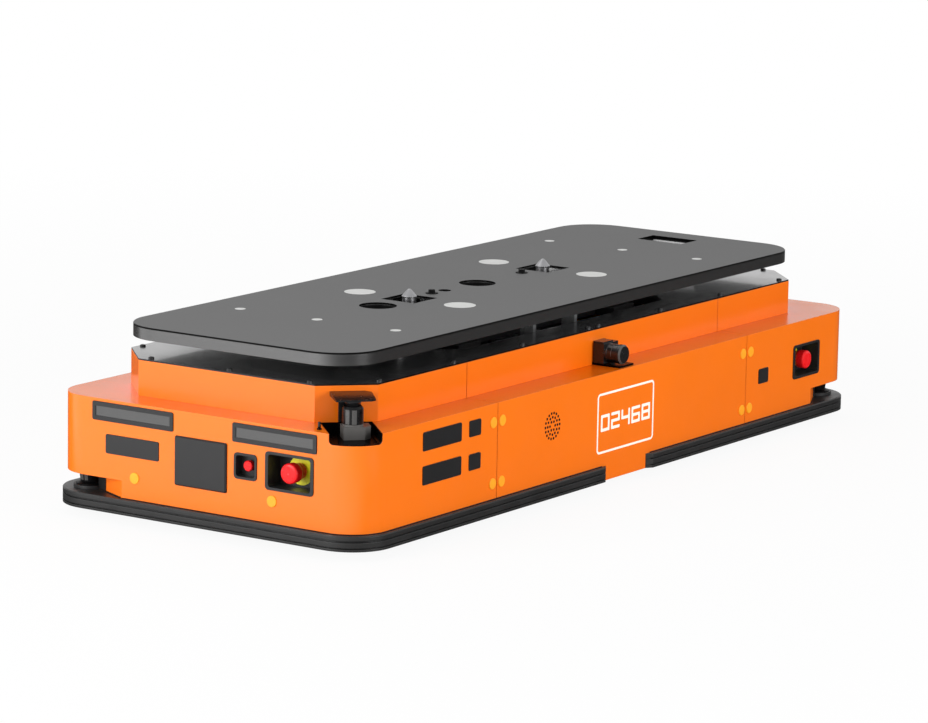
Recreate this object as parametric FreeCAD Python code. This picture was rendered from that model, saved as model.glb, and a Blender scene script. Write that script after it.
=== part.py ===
import FreeCAD, Part
import math
import os

os.makedirs("parts", exist_ok=True)
V = FreeCAD.Vector

# All sizes in millimetres. +X is the front, +Y the robot's left side, +Z up, z = 0 is the floor.

# Lower body
BODY_LENGTH = 1900.0
BODY_WIDTH = 760.0
BODY_CORNER_R = 80.0
SHEET = 3.0                    # thickness of every painted cover
FLOOR_GAP = 20.0               # floor to the underside of the bumper
BUMPER_H = 31.0
BUMPER_OUT = 10.0              # how far the bumper stands out of the body
BUMPER_DEPTH = 50.0
LOWER_H = 195.0
SEAM_FROM_END = 465.0          # from each end to where its cover meets the side panels
SEAM_GAP = 2.0
BASE_T = 6.0

# Upper body and deck
LEDGE_END = 71.0               # width of the ledge at the two ends
LEDGE_SIDE = 76.0              # and along the sides
UPPER_CHAMFER = 88.0
UPPER_H = 75.0                 # ledge to the top of the deck
DECK_T = 3.0
LEDGE_LAP = 25.0               # how far the ledge runs in under the upper covers
TOP_FLANGE = 30.0
OPENING_LENGTH = 840.0         # hole in the deck for the lift
OPENING_EDGE = 77.0            # sides of the hole to the sides of the upper body
OPENING_CHAMFER = 40.0

# Lift plate
PLATE_INSET_END = 12.0         # how far the plate's ends lie inside the upper body
PLATE_INSET_SIDE = 14.0
PLATE_R = 98.0
PLATE_H = 26.0
PLATE_T = 6.0
SKIRT_T = 4.0
LIFT_GAP = 35.5                # deck to the underside of the plate in the rest pose
LIFT_DOWN = 28.0
LIFT_UP = 30.0
HOLE_R = 39.0                  # the two camera holes in the plate
CAMERA_X = (0.0, 364.0)
SMALL_HOLE_X = 122.0
SMALL_HOLE_R = 13.5
PIN_X = 252.0
PIN_CUT = 84.0                 # square cut-out round each docking pin
BOLT_X = 170.0
SLOT_FROM_END = 101.0
SLOT_SIZE = (68.0, 116.0)
PAD_R = 33.0
PAD_AT = (251.0, 126.0)
PLUG_R = 11.0
PLUG_AT = (576.0, 193.0)
PAD_T = 3.0
PAD_PROUD = 0.3

# Fits
RUN = 0.05                     # radial clearance of every running shaft
EASE = 0.3                     # clearance of a panel in its cut-out
SCREW_EASE = 0.3

# Heights that follow from the sizes above
BODY_Z = FLOOR_GAP + BUMPER_H
LEDGE_Z = BODY_Z + LOWER_H
DECK_TOP = LEDGE_Z + UPPER_H
DECK_LOW = DECK_TOP - DECK_T
BASE_TOP = BODY_Z + BASE_T
PLATE_LOW = DECK_TOP + LIFT_GAP
PLATE_TOP = PLATE_LOW + PLATE_H
RIB_TOP = PLATE_TOP - PLATE_T
HALF_L = BODY_LENGTH / 2
HALF_W = BODY_WIDTH / 2
SEAM_X = HALF_L - SEAM_FROM_END
UPPER_LENGTH = BODY_LENGTH - 2 * LEDGE_END
UPPER_WIDTH = BODY_WIDTH - 2 * LEDGE_SIDE
OPENING_WIDTH = UPPER_WIDTH - 2 * OPENING_EDGE
PLATE_LENGTH = UPPER_LENGTH - 2 * PLATE_INSET_END
PLATE_WIDTH = UPPER_WIDTH - 2 * PLATE_INSET_SIDE
SLOT_X = SLOT_FROM_END - PLATE_LENGTH / 2
BIG = 2 * BODY_LENGTH          # reaches past everything
FRONT, LEFT, REAR, RIGHT = "front", "left", "rear", "right"
OUT = {FRONT: HALF_L, LEFT: HALF_W, REAR: HALF_L, RIGHT: HALF_W}   # centre to each face
QUARTER_TURNS = {FRONT: 0, LEFT: 1, REAR: 2, RIGHT: 3}


# ---------------------------------------------------------------- helpers

def box(x0, x1, y0, y1, z0, z1):
    return Part.makeBox(x1 - x0, y1 - y0, z1 - z0, V(x0, y0, z0))


def at(x, y, sx, sy, z0, z1):
    """Box with its middle over x, y."""
    return box(x - sx / 2, x + sx / 2, y - sy / 2, y + sy / 2, z0, z1)


def rod(x, y, z0, z1, r):
    return Part.makeCylinder(r, z1 - z0, V(x, y, z0))


def rod_x(x0, x1, y, z, r):
    return Part.makeCylinder(r, x1 - x0, V(x0, y, z), V(1, 0, 0))


def rod_y(x, y0, y1, z, r):
    return Part.makeCylinder(r, y1 - y0, V(x, y0, z), V(0, 1, 0))


def prism(points, z0, z1):
    wire = Part.makePolygon([V(x, y, z0) for x, y in points] + [V(points[0][0], points[0][1], z0)])
    return Part.Face(wire).extrude(V(0, 0, z1 - z0))


def turned(profile, x=0.0, y=0.0):
    """Solid of revolution about the vertical line through x, y; profile holds (radius, z)."""
    points = [V(x + r, y, z) for r, z in profile]
    face = Part.Face(Part.makePolygon(points + [points[0]]))
    return face.revolve(V(x, y, 0), V(0, 0, 1), 360)


def turned_x(profile, y, z):
    """Solid of revolution about a line along X; profile holds (radius, x)."""
    points = [V(px, y + r, z) for r, px in profile]
    face = Part.Face(Part.makePolygon(points + [points[0]]))
    return face.revolve(V(0, y, z), V(1, 0, 0), 360)


def slab(length, width, r, z0, z1):
    """Rounded rectangle centred on the origin, extruded between two heights."""
    a, b = length / 2, width / 2
    k = r * math.sqrt(0.5)
    edges = []
    corners = ((1, 1), (-1, 1), (-1, -1), (1, -1))
    ends = []
    for sx, sy in corners:
        cx, cy = sx * (a - r), sy * (b - r)
        side = V(cx + sx * r, cy, z0)
        top = V(cx, cy + sy * r, z0)
        first, last = (side, top) if sx * sy > 0 else (top, side)
        edges.append(Part.Arc(first, V(cx + sx * k, cy + sy * k, z0), last).toShape())
        ends.append((first, last))
    for i in range(4):
        edges.append(Part.makeLine(ends[i][1], ends[(i + 1) % 4][0]))
    wire = Part.Wire(Part.__sortEdges__(edges))
    return Part.Face(wire).extrude(V(0, 0, z1 - z0))


def pane(x0, x1, u, z, width, height, r):
    """Upright plate with rounded corners that faces along X; u is its middle along Y."""
    out = slab(height, width, r, 0, x1 - x0)
    out.rotate(V(0, 0, 0), V(0, 1, 0), 90)
    out.translate(V(x0, u, z))
    return out


def octagon(length, width, chamfer, z0, z1, inset=0.0):
    a, b = length / 2 - inset, width / 2 - inset
    c = chamfer - inset * (2 - math.sqrt(2))
    return prism([(a, b - c), (a - c, b), (c - a, b), (-a, b - c),
                  (-a, c - b), (c - a, -b), (a - c, -b), (a, c - b)], z0, z1)


def face(shape, side):
    """Turns something made for the front face onto another side."""
    out = shape.copy()
    out.rotate(V(0, 0, 0), V(0, 0, 1), 90 * QUARTER_TURNS[side])
    return out


def both(shape):
    """The shape and its half-turn twin: the robot is the same seen from either end."""
    return [shape, face(shape, REAR)]


def mirror_y(shape):
    return shape.mirror(V(0, 0, 0), V(0, 1, 0))


def mirror_x(shape):
    return shape.mirror(V(0, 0, 0), V(1, 0, 0))


def four(shape):
    """One copy in each quarter."""
    return [shape, mirror_x(shape), mirror_y(shape), mirror_x(mirror_y(shape))]


def regular(x, y, z0, z1, r, sides):
    """Upright prism with equal sides; r is the radius to its corners."""
    step = 2 * math.pi / sides
    return prism([(x + r * math.cos(step * (i + 0.5)), y + r * math.sin(step * (i + 0.5)))
                  for i in range(sides)], z0, z1)


def fused(shapes):
    out = shapes[0].fuse(shapes[1:]) if len(shapes) > 1 else shapes[0]
    return out.removeSplitter()


def export(name, shape):
    if isinstance(shape, list):
        shape = Part.makeCompound(shape)
    shape.exportStep("parts/" + name + ".step")


# ---------------------------------------------------------------- fittings let into the four faces
# Each one is drawn on the front face: x outwards, y along the face, z up.

WINDOW_PROUD = 1.5
WINDOW_LIP = 6.0
WINDOW_BACK = 2.0
WINDOW_R = 4.0                 # corners of the windows and of the holes they sit in


def window(side, u, z, width, height, proud=WINDOW_PROUD, lip=WINDOW_LIP):
    h = OUT[side]
    front = pane(h - SHEET, h + proud, u, z, width - 2 * EASE, height - 2 * EASE, WINDOW_R - EASE)
    a, b = width / 2 + lip, height / 2 + lip
    back = box(h - SHEET - WINDOW_BACK, h - SHEET, u - a, u + a, z - b, z + b)
    return front.fuse(back).removeSplitter()


def cutout(side, u, z, width, height):
    h = OUT[side]
    return face(pane(h - 4 * SHEET, h + 4 * SHEET, u, z, width, height, WINDOW_R), side)


# side, position along it, height above the floor, width and height of the window
END_WINDOW = (-174.5, LEDGE_Z - 89.0, 133.0, 39.0)
WIDE_WINDOW = (133.0, 38.0)
SMALL_WINDOW = (41.0, 33.0)
WIDE_U, SMALL_U, LONE_U = 270.0 - HALF_L, 384.0 - HALF_L, HALF_L - 391.5
UPPER_ROW, LOWER_ROW, LONE_Z = LEDGE_Z - 38.5, LEDGE_Z - 106.0, LEDGE_Z - 99.0
WINDOWS = [(FRONT,) + END_WINDOW, (REAR,) + END_WINDOW]
for side in (LEFT, RIGHT):
    for row in (UPPER_ROW, LOWER_ROW):
        WINDOWS += [(side, WIDE_U, row) + WIDE_WINDOW, (side, SMALL_U, row) + SMALL_WINDOW]
    WINDOWS.append((side, LONE_U, LONE_Z) + SMALL_WINDOW)
LIGHT_U, LIGHT_SIZE = HALF_W - 206.5, (202.0, 38.0)
LIGHT_Z = LEDGE_Z - 25.0
LIGHTS = [(side, u, LIGHT_Z) + LIGHT_SIZE for side in (FRONT, REAR) for u in (-LIGHT_U, LIGHT_U)]
LENS_W, LENS_H = 185.0, 20.0
LIGHT_PROUD = 2.0
LENS_FLOOR = 2.0
SERVICE = (-4.0, LEDGE_Z - 99.5, 127.0, 99.0, 5.0)
SERVICE_LIP = 2.0

windows = [face(window(*w), w[0]) for w in WINDOWS]
lights = []
lenses = []
for side, u, z, w, h in LIGHTS:
    frame = window(side, u, z, w, h, LIGHT_PROUD, 3.0)
    x0 = OUT[side] - LENS_FLOOR
    well = box(x0, x0 + 20, u - LENS_W / 2, u + LENS_W / 2, z - LENS_H / 2, z + LENS_H / 2)
    lights.append(face(frame.cut(well), side))
    a, b = LENS_W / 2 - EASE / 2, LENS_H / 2 - EASE / 2
    lens = box(x0, x0 + LENS_FLOOR + 0.6, u - a, u + a, z - b, z + b)
    lenses.append(face(lens, side))

# Front service hatch: a raised lid with a bevelled rim. Rear: the charging contacts.
SU, SZ, SW, SH, SP = SERVICE
BEVEL = 2.5
hatch = window(FRONT, SU, SZ, SW, SH, SP, SERVICE_LIP)
rim = [e for e in hatch.Edges if abs(e.BoundBox.XMin - (HALF_L + SP)) < 0.01
       and abs(e.BoundBox.XMax - (HALF_L + SP)) < 0.01]
hatch = hatch.makeChamfer(BEVEL, rim)
CONTACT_W, CONTACT_H, CONTACT_GAP = 22.0, 70.0, 34.0
charger = window(REAR, SU, SZ, SW, SH, SP, SERVICE_LIP)
for du in (-CONTACT_GAP, 0.0, CONTACT_GAP):
    groove = box(HALF_L + SP - 2, HALF_L + SP + 5, SU + du - CONTACT_W / 2, SU + du + CONTACT_W / 2,
                 SZ - CONTACT_H / 2, SZ + CONTACT_H / 2)
    charger = charger.cut(groove)
contacts = [face(box(HALF_L + SP - 2, HALF_L + SP + 1, SU + du - CONTACT_W / 2 + EASE,
                     SU + du + CONTACT_W / 2 - EASE, SZ - CONTACT_H / 2 + EASE,
                     SZ + CONTACT_H / 2 - EASE), REAR) for du in (-CONTACT_GAP, 0.0, CONTACT_GAP)]

# Emergency stops: a pocket in the face, a collar on its floor and a mushroom head
STOP_END_U, STOP_SIDE_U = 210.0, HALF_L - 205.0
STOPS = [(FRONT, STOP_END_U), (LEFT, STOP_SIDE_U), (REAR, STOP_END_U), (RIGHT, STOP_SIDE_U)]
STOP_Z = LEDGE_Z - 90.0
STOP_OUTER = (115.0, 76.0)
STOP_INNER = (101.0, 65.0)
STOP_DEPTH = 40.0
STOP_HEAD_R = 20.0
STOP_PROUD = 4.5               # how far a head stands out of the face of the body
STOP_TRAVEL = 3.5
COLLAR_R = 29.0
COLLAR_T = 2.0
STEM_R = 8.0
POCKET_WALL = 2.0
FLANGE_T = 2.0
FLANGE_R, POCKET_R = 8.0, 6.0

RESET_U, RESET_Z = 104.5, STOP_Z
RESET_OUTER = (55.0, 52.0)
RESET_INNER = (45.0, 42.0)
RESET_DEPTH = 18.0
RESET_R = 10.5
RESET_TRAVEL = 2.5


def pocket(side, u, z, outer, inner, depth, bore_len):
    h = OUT[side]
    flange = pane(h, h + FLANGE_T, u, z, outer[0], outer[1], FLANGE_R)
    a, b = inner[0] / 2 + POCKET_WALL, inner[1] / 2 + POCKET_WALL
    tub = box(h - depth - POCKET_WALL, h, u - a, u + a, z - b, z + b)
    boss = rod_x(h - depth - bore_len, h - depth, u, z, STEM_R + 5)
    room = pane(h - depth, h + 20, u, z, inner[0], inner[1], POCKET_R)
    bore = rod_x(h - depth - bore_len - 1, h, u, z, STEM_R + RUN)
    return flange.fuse([tub, boss]).cut(room).cut(bore).removeSplitter()


def stop_head(side, u):
    floor = OUT[side] - STOP_DEPTH
    end = OUT[side] + STOP_PROUD
    r = STOP_HEAD_R
    base = floor + COLLAR_T + STOP_TRAVEL + 0.5
    return turned_x([(0, floor - 20), (STEM_R, floor - 20), (STEM_R, base),
                     (r - 4, base), (r - 3, base + 12), (r, base + 20),
                     (r, end - 4), (r - 1.5, end - 1.5), (r - 5, end - 0.3), (0, end)], u, STOP_Z)


def stop_collar(side, u):
    h = OUT[side] - STOP_DEPTH
    return rod_x(h, h + COLLAR_T, u, STOP_Z, COLLAR_R).cut(rod_x(h - 1, h + 5, u, STOP_Z, STEM_R + 1))


housings = [face(pocket(side, u, STOP_Z, STOP_OUTER, STOP_INNER, STOP_DEPTH, 24.0), side)
            for side, u in STOPS]
housings.append(pocket(FRONT, RESET_U, RESET_Z, RESET_OUTER, RESET_INNER, RESET_DEPTH, 20.0))
collars = [face(stop_collar(side, u), side) for side, u in STOPS]
heads = [face(stop_head(side, u), side) for side, u in STOPS]
reset_face = HALF_L - 6.0
reset_base = HALF_L - RESET_DEPTH + RESET_TRAVEL + 0.5
reset_button = turned_x([(0, HALF_L - RESET_DEPTH - 16), (STEM_R, HALF_L - RESET_DEPTH - 16),
                         (STEM_R, reset_base), (RESET_R, reset_base), (RESET_R, reset_face - 1.5),
                         (RESET_R - 1.5, reset_face), (0, reset_face)], RESET_U, RESET_Z)

# Yellow caps over the cover screws
CAP_R, CAP_T = 11.5, 2.0
CAP_STEM_R, CAP_STEM = 3.5, 9.0
CAP_SIDES = 20
CAP_END_U, CAP_END_Z = 168.5, STOP_Z - 60.0
CAP_FROM_SEAM, CAP_SIDE_Z = 16.0, (84.0, LEDGE_Z - 38.0)
CAPS = [(side, s * CAP_END_U, CAP_END_Z) for side in (FRONT, REAR) for s in (-1, 1)]
for side in (LEFT, RIGHT):
    CAPS += [(side, s * SEAM_X + d, z) for s in (-1, 1) for d in (-CAP_FROM_SEAM, CAP_FROM_SEAM)
             for z in CAP_SIDE_Z]


def screw_cap(side, u, z):
    disc = regular(0, 0, 0, CAP_T, CAP_R, CAP_SIDES)
    disc = disc.makeChamfer(0.8, [e for e in disc.Edges if e.BoundBox.ZMin > CAP_T - 0.01])
    cap = disc.fuse(regular(0, 0, -CAP_STEM, 0, CAP_STEM_R, 8)).removeSplitter()
    cap.rotate(V(0, 0, 0), V(0, 1, 0), 90)
    cap.translate(V(OUT[side], u, z))
    return face(cap, side)


caps = [screw_cap(*spot) for spot in CAPS]

# Loudspeaker grille: three rings of holes in each side panel
SPEAKER_U, SPEAKER_Z = -284.0, LEDGE_Z - 79.0
GRILLE_RINGS = (26.5, 18.0, 9.5)
GRILLE_PITCH = 9.4             # from one hole of a ring to the next, about
GRILLE_HOLE = 2.4
speaker_holes = []
for side in (LEFT, RIGHT):
    for ring in GRILLE_RINGS:
        count = round(2 * math.pi * ring / GRILLE_PITCH)
        for i in range(count):
            t = 2 * math.pi * i / count
            y0, z0 = SPEAKER_U + ring * math.cos(t), SPEAKER_Z + ring * math.sin(t)
            corners = [V(HALF_W - 10, y0 + GRILLE_HOLE * math.cos(a), z0 + GRILLE_HOLE * math.sin(a))
                       for a in [math.pi * j / 4 for j in range(9)]]
            speaker_holes.append(face(Part.Face(Part.makePolygon(corners)).extrude(V(20, 0, 0)), side))
speakers = [face(turned_x([(0, HALF_W - 34), (16, HALF_W - 34), (16, HALF_W - 22), (36, HALF_W - 9),
                           (36, HALF_W - SHEET), (31, HALF_W - SHEET), (31, HALF_W - 7),
                           (0, HALF_W - 16)], SPEAKER_U, SPEAKER_Z), side) for side in (LEFT, RIGHT)]

# ---------------------------------------------------------------- lidar pockets in the corners

# Upper front-left and rear-right corners: a slot cut on the diagonal of the ledge.
# d runs outwards from the chamfered face of the upper body, w across it.
DIAG = V(math.sqrt(0.5), math.sqrt(0.5), 0)
ACROSS = V(-math.sqrt(0.5), math.sqrt(0.5), 0)
CHAMFER_MID = V(UPPER_LENGTH / 2 - UPPER_CHAMFER / 2, UPPER_WIDTH / 2 - UPPER_CHAMFER / 2, 0)
SLOT_HALF = 51.5
SLOT_DEPTH = 21.0
SLOT_R = 8.0


def diag(shape):
    """Moves a shape drawn with d along X and w along Y onto the front-left diagonal."""
    out = shape.copy()
    out.rotate(V(0, 0, 0), V(0, 0, 1), 45)
    out.translate(CHAMFER_MID)
    return out


def diagonal_slot(grow):
    half = SLOT_HALF + grow
    low = LEDGE_Z - SLOT_DEPTH - grow
    tool = box(-grow, 200, -half, half, low, LEDGE_Z + 1)
    corners = [e for e in tool.Edges if abs(e.BoundBox.ZMax - low) < 0.01
               and abs(e.BoundBox.ZMin - low) < 0.01
               and abs(e.BoundBox.YMax - e.BoundBox.YMin) < 0.01]
    return diag(tool.makeFillet(SLOT_R + grow, corners))


# Lower front-right and rear-left corners: a wedge round the safety lidar, open to three quarters.
SAFETY_AT = (HALF_L - 57.0, 57.0 - HALF_W)
SAFETY_ANGLE = math.radians(25)
SAFETY_ROOF = 87.0
SAFETY_R = 25.0
SAFETY_CLEAR = 8.0


def safety_notch(grow, z0, z1):
    s = grow / math.cos(math.radians(45) - SAFETY_ANGLE)
    px, py = SAFETY_AT[0] - s * math.sqrt(0.5), SAFETY_AT[1] + s * math.sqrt(0.5)
    reach = 400.0
    sa, ca = math.sin(SAFETY_ANGLE), math.cos(SAFETY_ANGLE)
    a = (px + reach * sa, py + reach * ca)
    b = (px - reach * ca, py - reach * sa)
    wedge = prism([(px, py), b, (b[0], py - reach), (px + reach, py - reach), (px + reach, a[1]), a],
                  z0, z1)
    round_well = rod(SAFETY_AT[0], SAFETY_AT[1], z0, z1, SAFETY_R + SAFETY_CLEAR + grow)
    return wedge.fuse(round_well).removeSplitter()


# ---------------------------------------------------------------- lower covers

outer = slab(BODY_LENGTH, BODY_WIDTH, BODY_CORNER_R, BODY_Z, LEDGE_Z)
inner = slab(BODY_LENGTH - 2 * SHEET, BODY_WIDTH - 2 * SHEET, BODY_CORNER_R - SHEET,
             BODY_Z - 1, LEDGE_Z - SHEET)
outer = outer.cut(both(diagonal_slot(0.0)) + both(safety_notch(0.0, BODY_Z - 1, SAFETY_ROOF)))
inner = inner.cut(both(diagonal_slot(SHEET)) + both(safety_notch(SHEET, BODY_Z - 2, SAFETY_ROOF + SHEET)))
well = octagon(UPPER_LENGTH, UPPER_WIDTH, UPPER_CHAMFER, LEDGE_Z - 2 * SHEET, LEDGE_Z + 5, LEDGE_LAP)
lower_shell = outer.cut([inner, well])
# the well above would open the back wall of the diagonal slot, so that strip is put back
back_wall = diag(box(-SHEET, 0, -SLOT_HALF - SHEET, SLOT_HALF + SHEET,
                     LEDGE_Z - SLOT_DEPTH - SHEET, LEDGE_Z))
lower_shell = lower_shell.fuse(both(back_wall)).removeSplitter()

holes = [cutout(*spot) for spot in WINDOWS + LIGHTS]
holes += [cutout(side, SU, SZ, SW, SH) for side in (FRONT, REAR)]

def tub_hole(side, u, z, inner):
    """Square-cornered hole for the tub of a switch housing; the flange covers its corners."""
    h = OUT[side]
    a, b = inner[0] / 2 + POCKET_WALL + EASE, inner[1] / 2 + POCKET_WALL + EASE
    return face(box(h - 4 * SHEET, h + 4 * SHEET, u - a, u + a, z - b, z + b), side)


holes += [tub_hole(side, u, STOP_Z, STOP_INNER) for side, u in STOPS]
holes.append(tub_hole(FRONT, RESET_U, RESET_Z, RESET_INNER))
for side, u, z in CAPS:
    drill = regular(0, 0, -CAP_STEM, CAP_STEM, CAP_STEM_R + SCREW_EASE, 8)
    drill.rotate(V(0, 0, 0), V(0, 1, 0), 90)
    drill.translate(V(OUT[side], u, z))
    holes.append(face(drill, side))
# roof of each safety pocket is pierced for the lidar's upper half
holes += both(rod(SAFETY_AT[0], SAFETY_AT[1], SAFETY_ROOF - 1, SAFETY_ROOF + SHEET + 1, SAFETY_R + 1))
# the base plate reaches in under the round wall to carry the lidar
STAND_R = SAFETY_R + SAFETY_CLEAR + SHEET
holes += both(rod(SAFETY_AT[0], SAFETY_AT[1], BODY_Z - 1, BASE_TOP + EASE, STAND_R + EASE))
lower_shell = lower_shell.cut(holes)

edge = SEAM_X + SEAM_GAP / 2
inside = SEAM_X - SEAM_GAP / 2
lower_front = lower_shell.common(box(edge, BIG, -BIG, BIG, 0, PLATE_TOP))
lower_rear = lower_shell.common(box(-BIG, -edge, -BIG, BIG, 0, PLATE_TOP))

# Tab of the side panel that comes down between the two bumper halves
TAB_HALF = 78.0
TAB_FOLD = 35.0
tab = box(-TAB_HALF, TAB_HALF, HALF_W - SHEET, HALF_W, FLOOR_GAP, BODY_Z)
fold = box(-TAB_HALF, TAB_HALF, HALF_W - TAB_FOLD, HALF_W, FLOOR_GAP, FLOOR_GAP + SHEET)
side_left = lower_shell.common(box(-inside, inside, 0, BIG, 0, PLATE_TOP))
side_left = fused([side_left, tab, fold])
side_right = face(side_left, REAR)
side_left = side_left.cut(speaker_holes[:len(speaker_holes) // 2])
side_right = side_right.cut(speaker_holes[len(speaker_holes) // 2:])

# ---------------------------------------------------------------- upper covers and deck

upper_out = octagon(UPPER_LENGTH, UPPER_WIDTH, UPPER_CHAMFER, LEDGE_Z, DECK_LOW)
upper_in = octagon(UPPER_LENGTH, UPPER_WIDTH, UPPER_CHAMFER, LEDGE_Z - 1, DECK_LOW - SHEET, SHEET)
upper_well = octagon(UPPER_LENGTH, UPPER_WIDTH, UPPER_CHAMFER, LEDGE_Z, DECK_TOP + 5, TOP_FLANGE)
upper_shell = upper_out.cut([upper_in, upper_well])

SCREW_EDGE = 13.0               # screw centres to the edge of the upper body
SCREW_X = (19.0, 267.0, SEAM_X + 30.0, UPPER_LENGTH / 2 - UPPER_CHAMFER - 21.0)
SCREW_Y = (-194.0, 0.0, 194.0)
DECK_SCREWS = [(sx * x, sy * (UPPER_WIDTH / 2 - SCREW_EDGE))
               for x in SCREW_X for sx in (1, -1) for sy in (1, -1)]
DECK_SCREWS += [(sx * (UPPER_LENGTH / 2 - SCREW_EDGE), y) for sx in (1, -1) for y in SCREW_Y]
SCREW_R, SCREW_HEAD_R, SCREW_HEAD_H, SCREW_LEN = 3.0, 6.0, 4.0, 10.0
screw_holes = [regular(x, y, DECK_TOP - 20, DECK_TOP + 5, SCREW_R + SCREW_EASE, 8) for x, y in DECK_SCREWS]
upper_shell = upper_shell.cut(screw_holes)
upper_front = upper_shell.common(box(edge, BIG, -BIG, BIG, 0, PLATE_TOP))
upper_rear = upper_shell.common(box(-BIG, -edge, -BIG, BIG, 0, PLATE_TOP))
upper_left = upper_shell.common(box(-inside, inside, 0, BIG, 0, PLATE_TOP))
upper_right = upper_shell.common(box(-inside, inside, -BIG, 0, 0, PLATE_TOP))

deck = octagon(UPPER_LENGTH, UPPER_WIDTH, UPPER_CHAMFER, DECK_LOW, DECK_TOP, 0.5)
opening = octagon(OPENING_LENGTH, OPENING_WIDTH, OPENING_CHAMFER, DECK_LOW - 1, DECK_TOP + 1)
deck = deck.cut([opening] + screw_holes)


def deck_screw(x, y):
    head = regular(x, y, DECK_TOP, DECK_TOP + SCREW_HEAD_H, SCREW_HEAD_R, 12)
    head = head.makeChamfer(1.5, [e for e in head.Edges if e.BoundBox.ZMin > DECK_TOP + SCREW_HEAD_H - 0.01])
    head = head.cut(regular(x, y, DECK_TOP + 1.5, DECK_TOP + 9, 2.4, 6))
    return head.fuse(regular(x, y, DECK_TOP - SCREW_LEN, DECK_TOP, SCREW_R, 8)).removeSplitter()


deck_screws = [deck_screw(x, y) for x, y in DECK_SCREWS]

# ---------------------------------------------------------------- bumper: grooved rubber, two halves

GROOVE = 4.0
# from and to above the underside, and how far each band lies back
BANDS = ((0.0, 5.0, 0.0), (5.0, 7.0, GROOVE), (7.0, 18.0, 0.0), (18.0, 21.0, GROOVE),
         (21.0, BUMPER_H - 1.5, 0.0), (BUMPER_H - 1.5, BUMPER_H, 1.5))
bumper_l, bumper_w = BODY_LENGTH + 2 * BUMPER_OUT, BODY_WIDTH + 2 * BUMPER_OUT
bumper_r = BODY_CORNER_R + BUMPER_OUT
bands = [slab(bumper_l - 2 * g, bumper_w - 2 * g, bumper_r - g, FLOOR_GAP + z0, FLOOR_GAP + z1)
         for z0, z1, g in BANDS]
room = slab(bumper_l - 2 * BUMPER_DEPTH, bumper_w - 2 * BUMPER_DEPTH, bumper_r - BUMPER_DEPTH,
            FLOOR_GAP - 1, BODY_Z + 1)
TAB_EASE = 1.0
END_SLOPE = 14.0               # the halves slope in over this length to lie flush beside the tab
end = TAB_HALF + TAB_EASE
slope = prism([(end - 1, HALF_W), (end, HALF_W), (end + END_SLOPE, HALF_W + BUMPER_OUT + 0.1),
               (end + END_SLOPE, HALF_W + 2 * BUMPER_OUT), (end - 1, HALF_W + 2 * BUMPER_OUT)],
              FLOOR_GAP - 1, BODY_Z + 1)
ring = fused(bands).cut([room] + four(slope))
bumper_front = ring.common(box(end, BIG, -BIG, BIG, 0, LEDGE_Z))
bumper_rear = ring.common(box(-BIG, -end, -BIG, BIG, 0, LEDGE_Z))

# ---------------------------------------------------------------- drive wheels

WHEEL_R, WHEEL_W, WHEEL_Y = 105.0, 50.0, HALF_W - 70.0
TYRE_T = 16.0
SHAFT_R = 12.0
GEARBOX = 84.0
GEAR_Y1 = WHEEL_Y - 48.0
GEAR_Y0 = GEAR_Y1 - 72.0
MOTOR_R, MOTOR_Y0 = 38.0, 25.0
BRACKET_T = 8.0
w0, w1 = WHEEL_Y - WHEEL_W / 2, WHEEL_Y + WHEEL_W / 2


def turned_y(profile, x, z):
    """Solid of revolution about a line along Y; profile holds (radius, y)."""
    points = [V(x, py, z + r) for r, py in profile]
    shape = Part.Face(Part.makePolygon(points + [points[0]]))
    return shape.revolve(V(x, 0, z), V(0, 1, 0), 360)


rim_r = WHEEL_R - TYRE_T
tyre = turned_y([(rim_r, w0), (WHEEL_R - 3, w0), (WHEEL_R, w0 + 4), (WHEEL_R, w1 - 4),
                 (WHEEL_R - 3, w1), (rim_r, w1)], 0, WHEEL_R)
hub = turned_y([(0, GEAR_Y1 - 40), (SHAFT_R, GEAR_Y1 - 40), (SHAFT_R, w0 - 6), (32, w0 - 6), (32, w0 + 12),
                (rim_r - 10, w0 + 12), (rim_r - 10, w0), (rim_r, w0), (rim_r, w1), (rim_r - 10, w1),
                (rim_r - 10, w1 - 20), (34, w1 - 20), (34, w1 - 6), (0, w1 - 6)], 0, WHEEL_R)
lugs = []
for i in range(6):
    t = math.radians(60 * i)
    lugs.append(rod_y(56 * math.sin(t), w0, w1, WHEEL_R + 56 * math.cos(t), 9.0))
hub = hub.cut(lugs)
gear = box(-GEARBOX / 2, GEARBOX / 2, GEAR_Y0, GEAR_Y1, WHEEL_R - GEARBOX / 2, WHEEL_R + GEARBOX / 2)
nose = rod_y(0, GEAR_Y1, GEAR_Y1 + BRACKET_T + 4, WHEEL_R, 27.0)
motor = rod_y(0, MOTOR_Y0, GEAR_Y0, WHEEL_R, MOTOR_R)
encoder = rod_y(0, MOTOR_Y0 - 15, MOTOR_Y0, WHEEL_R, 24.0)
drive = gear.fuse([nose, motor, encoder])
drive = drive.cut(rod_y(0, GEAR_Y1 - 41, GEAR_Y1 + 40, WHEEL_R, SHAFT_R + RUN)).removeSplitter()
plate_v = box(-60, 60, GEAR_Y1, GEAR_Y1 + BRACKET_T, BASE_TOP, WHEEL_R + GEARBOX / 2 + 4)
foot = box(-60, 60, GEAR_Y0, GEAR_Y1 + BRACKET_T, BASE_TOP, BASE_TOP + 6)
bracket = fused([plate_v, foot]).cut(rod_y(0, GEAR_Y1 - 1, GEAR_Y1 + 20, WHEEL_R, 27.0))
drive_left = fused([drive, bracket])

# ---------------------------------------------------------------- casters

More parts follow.
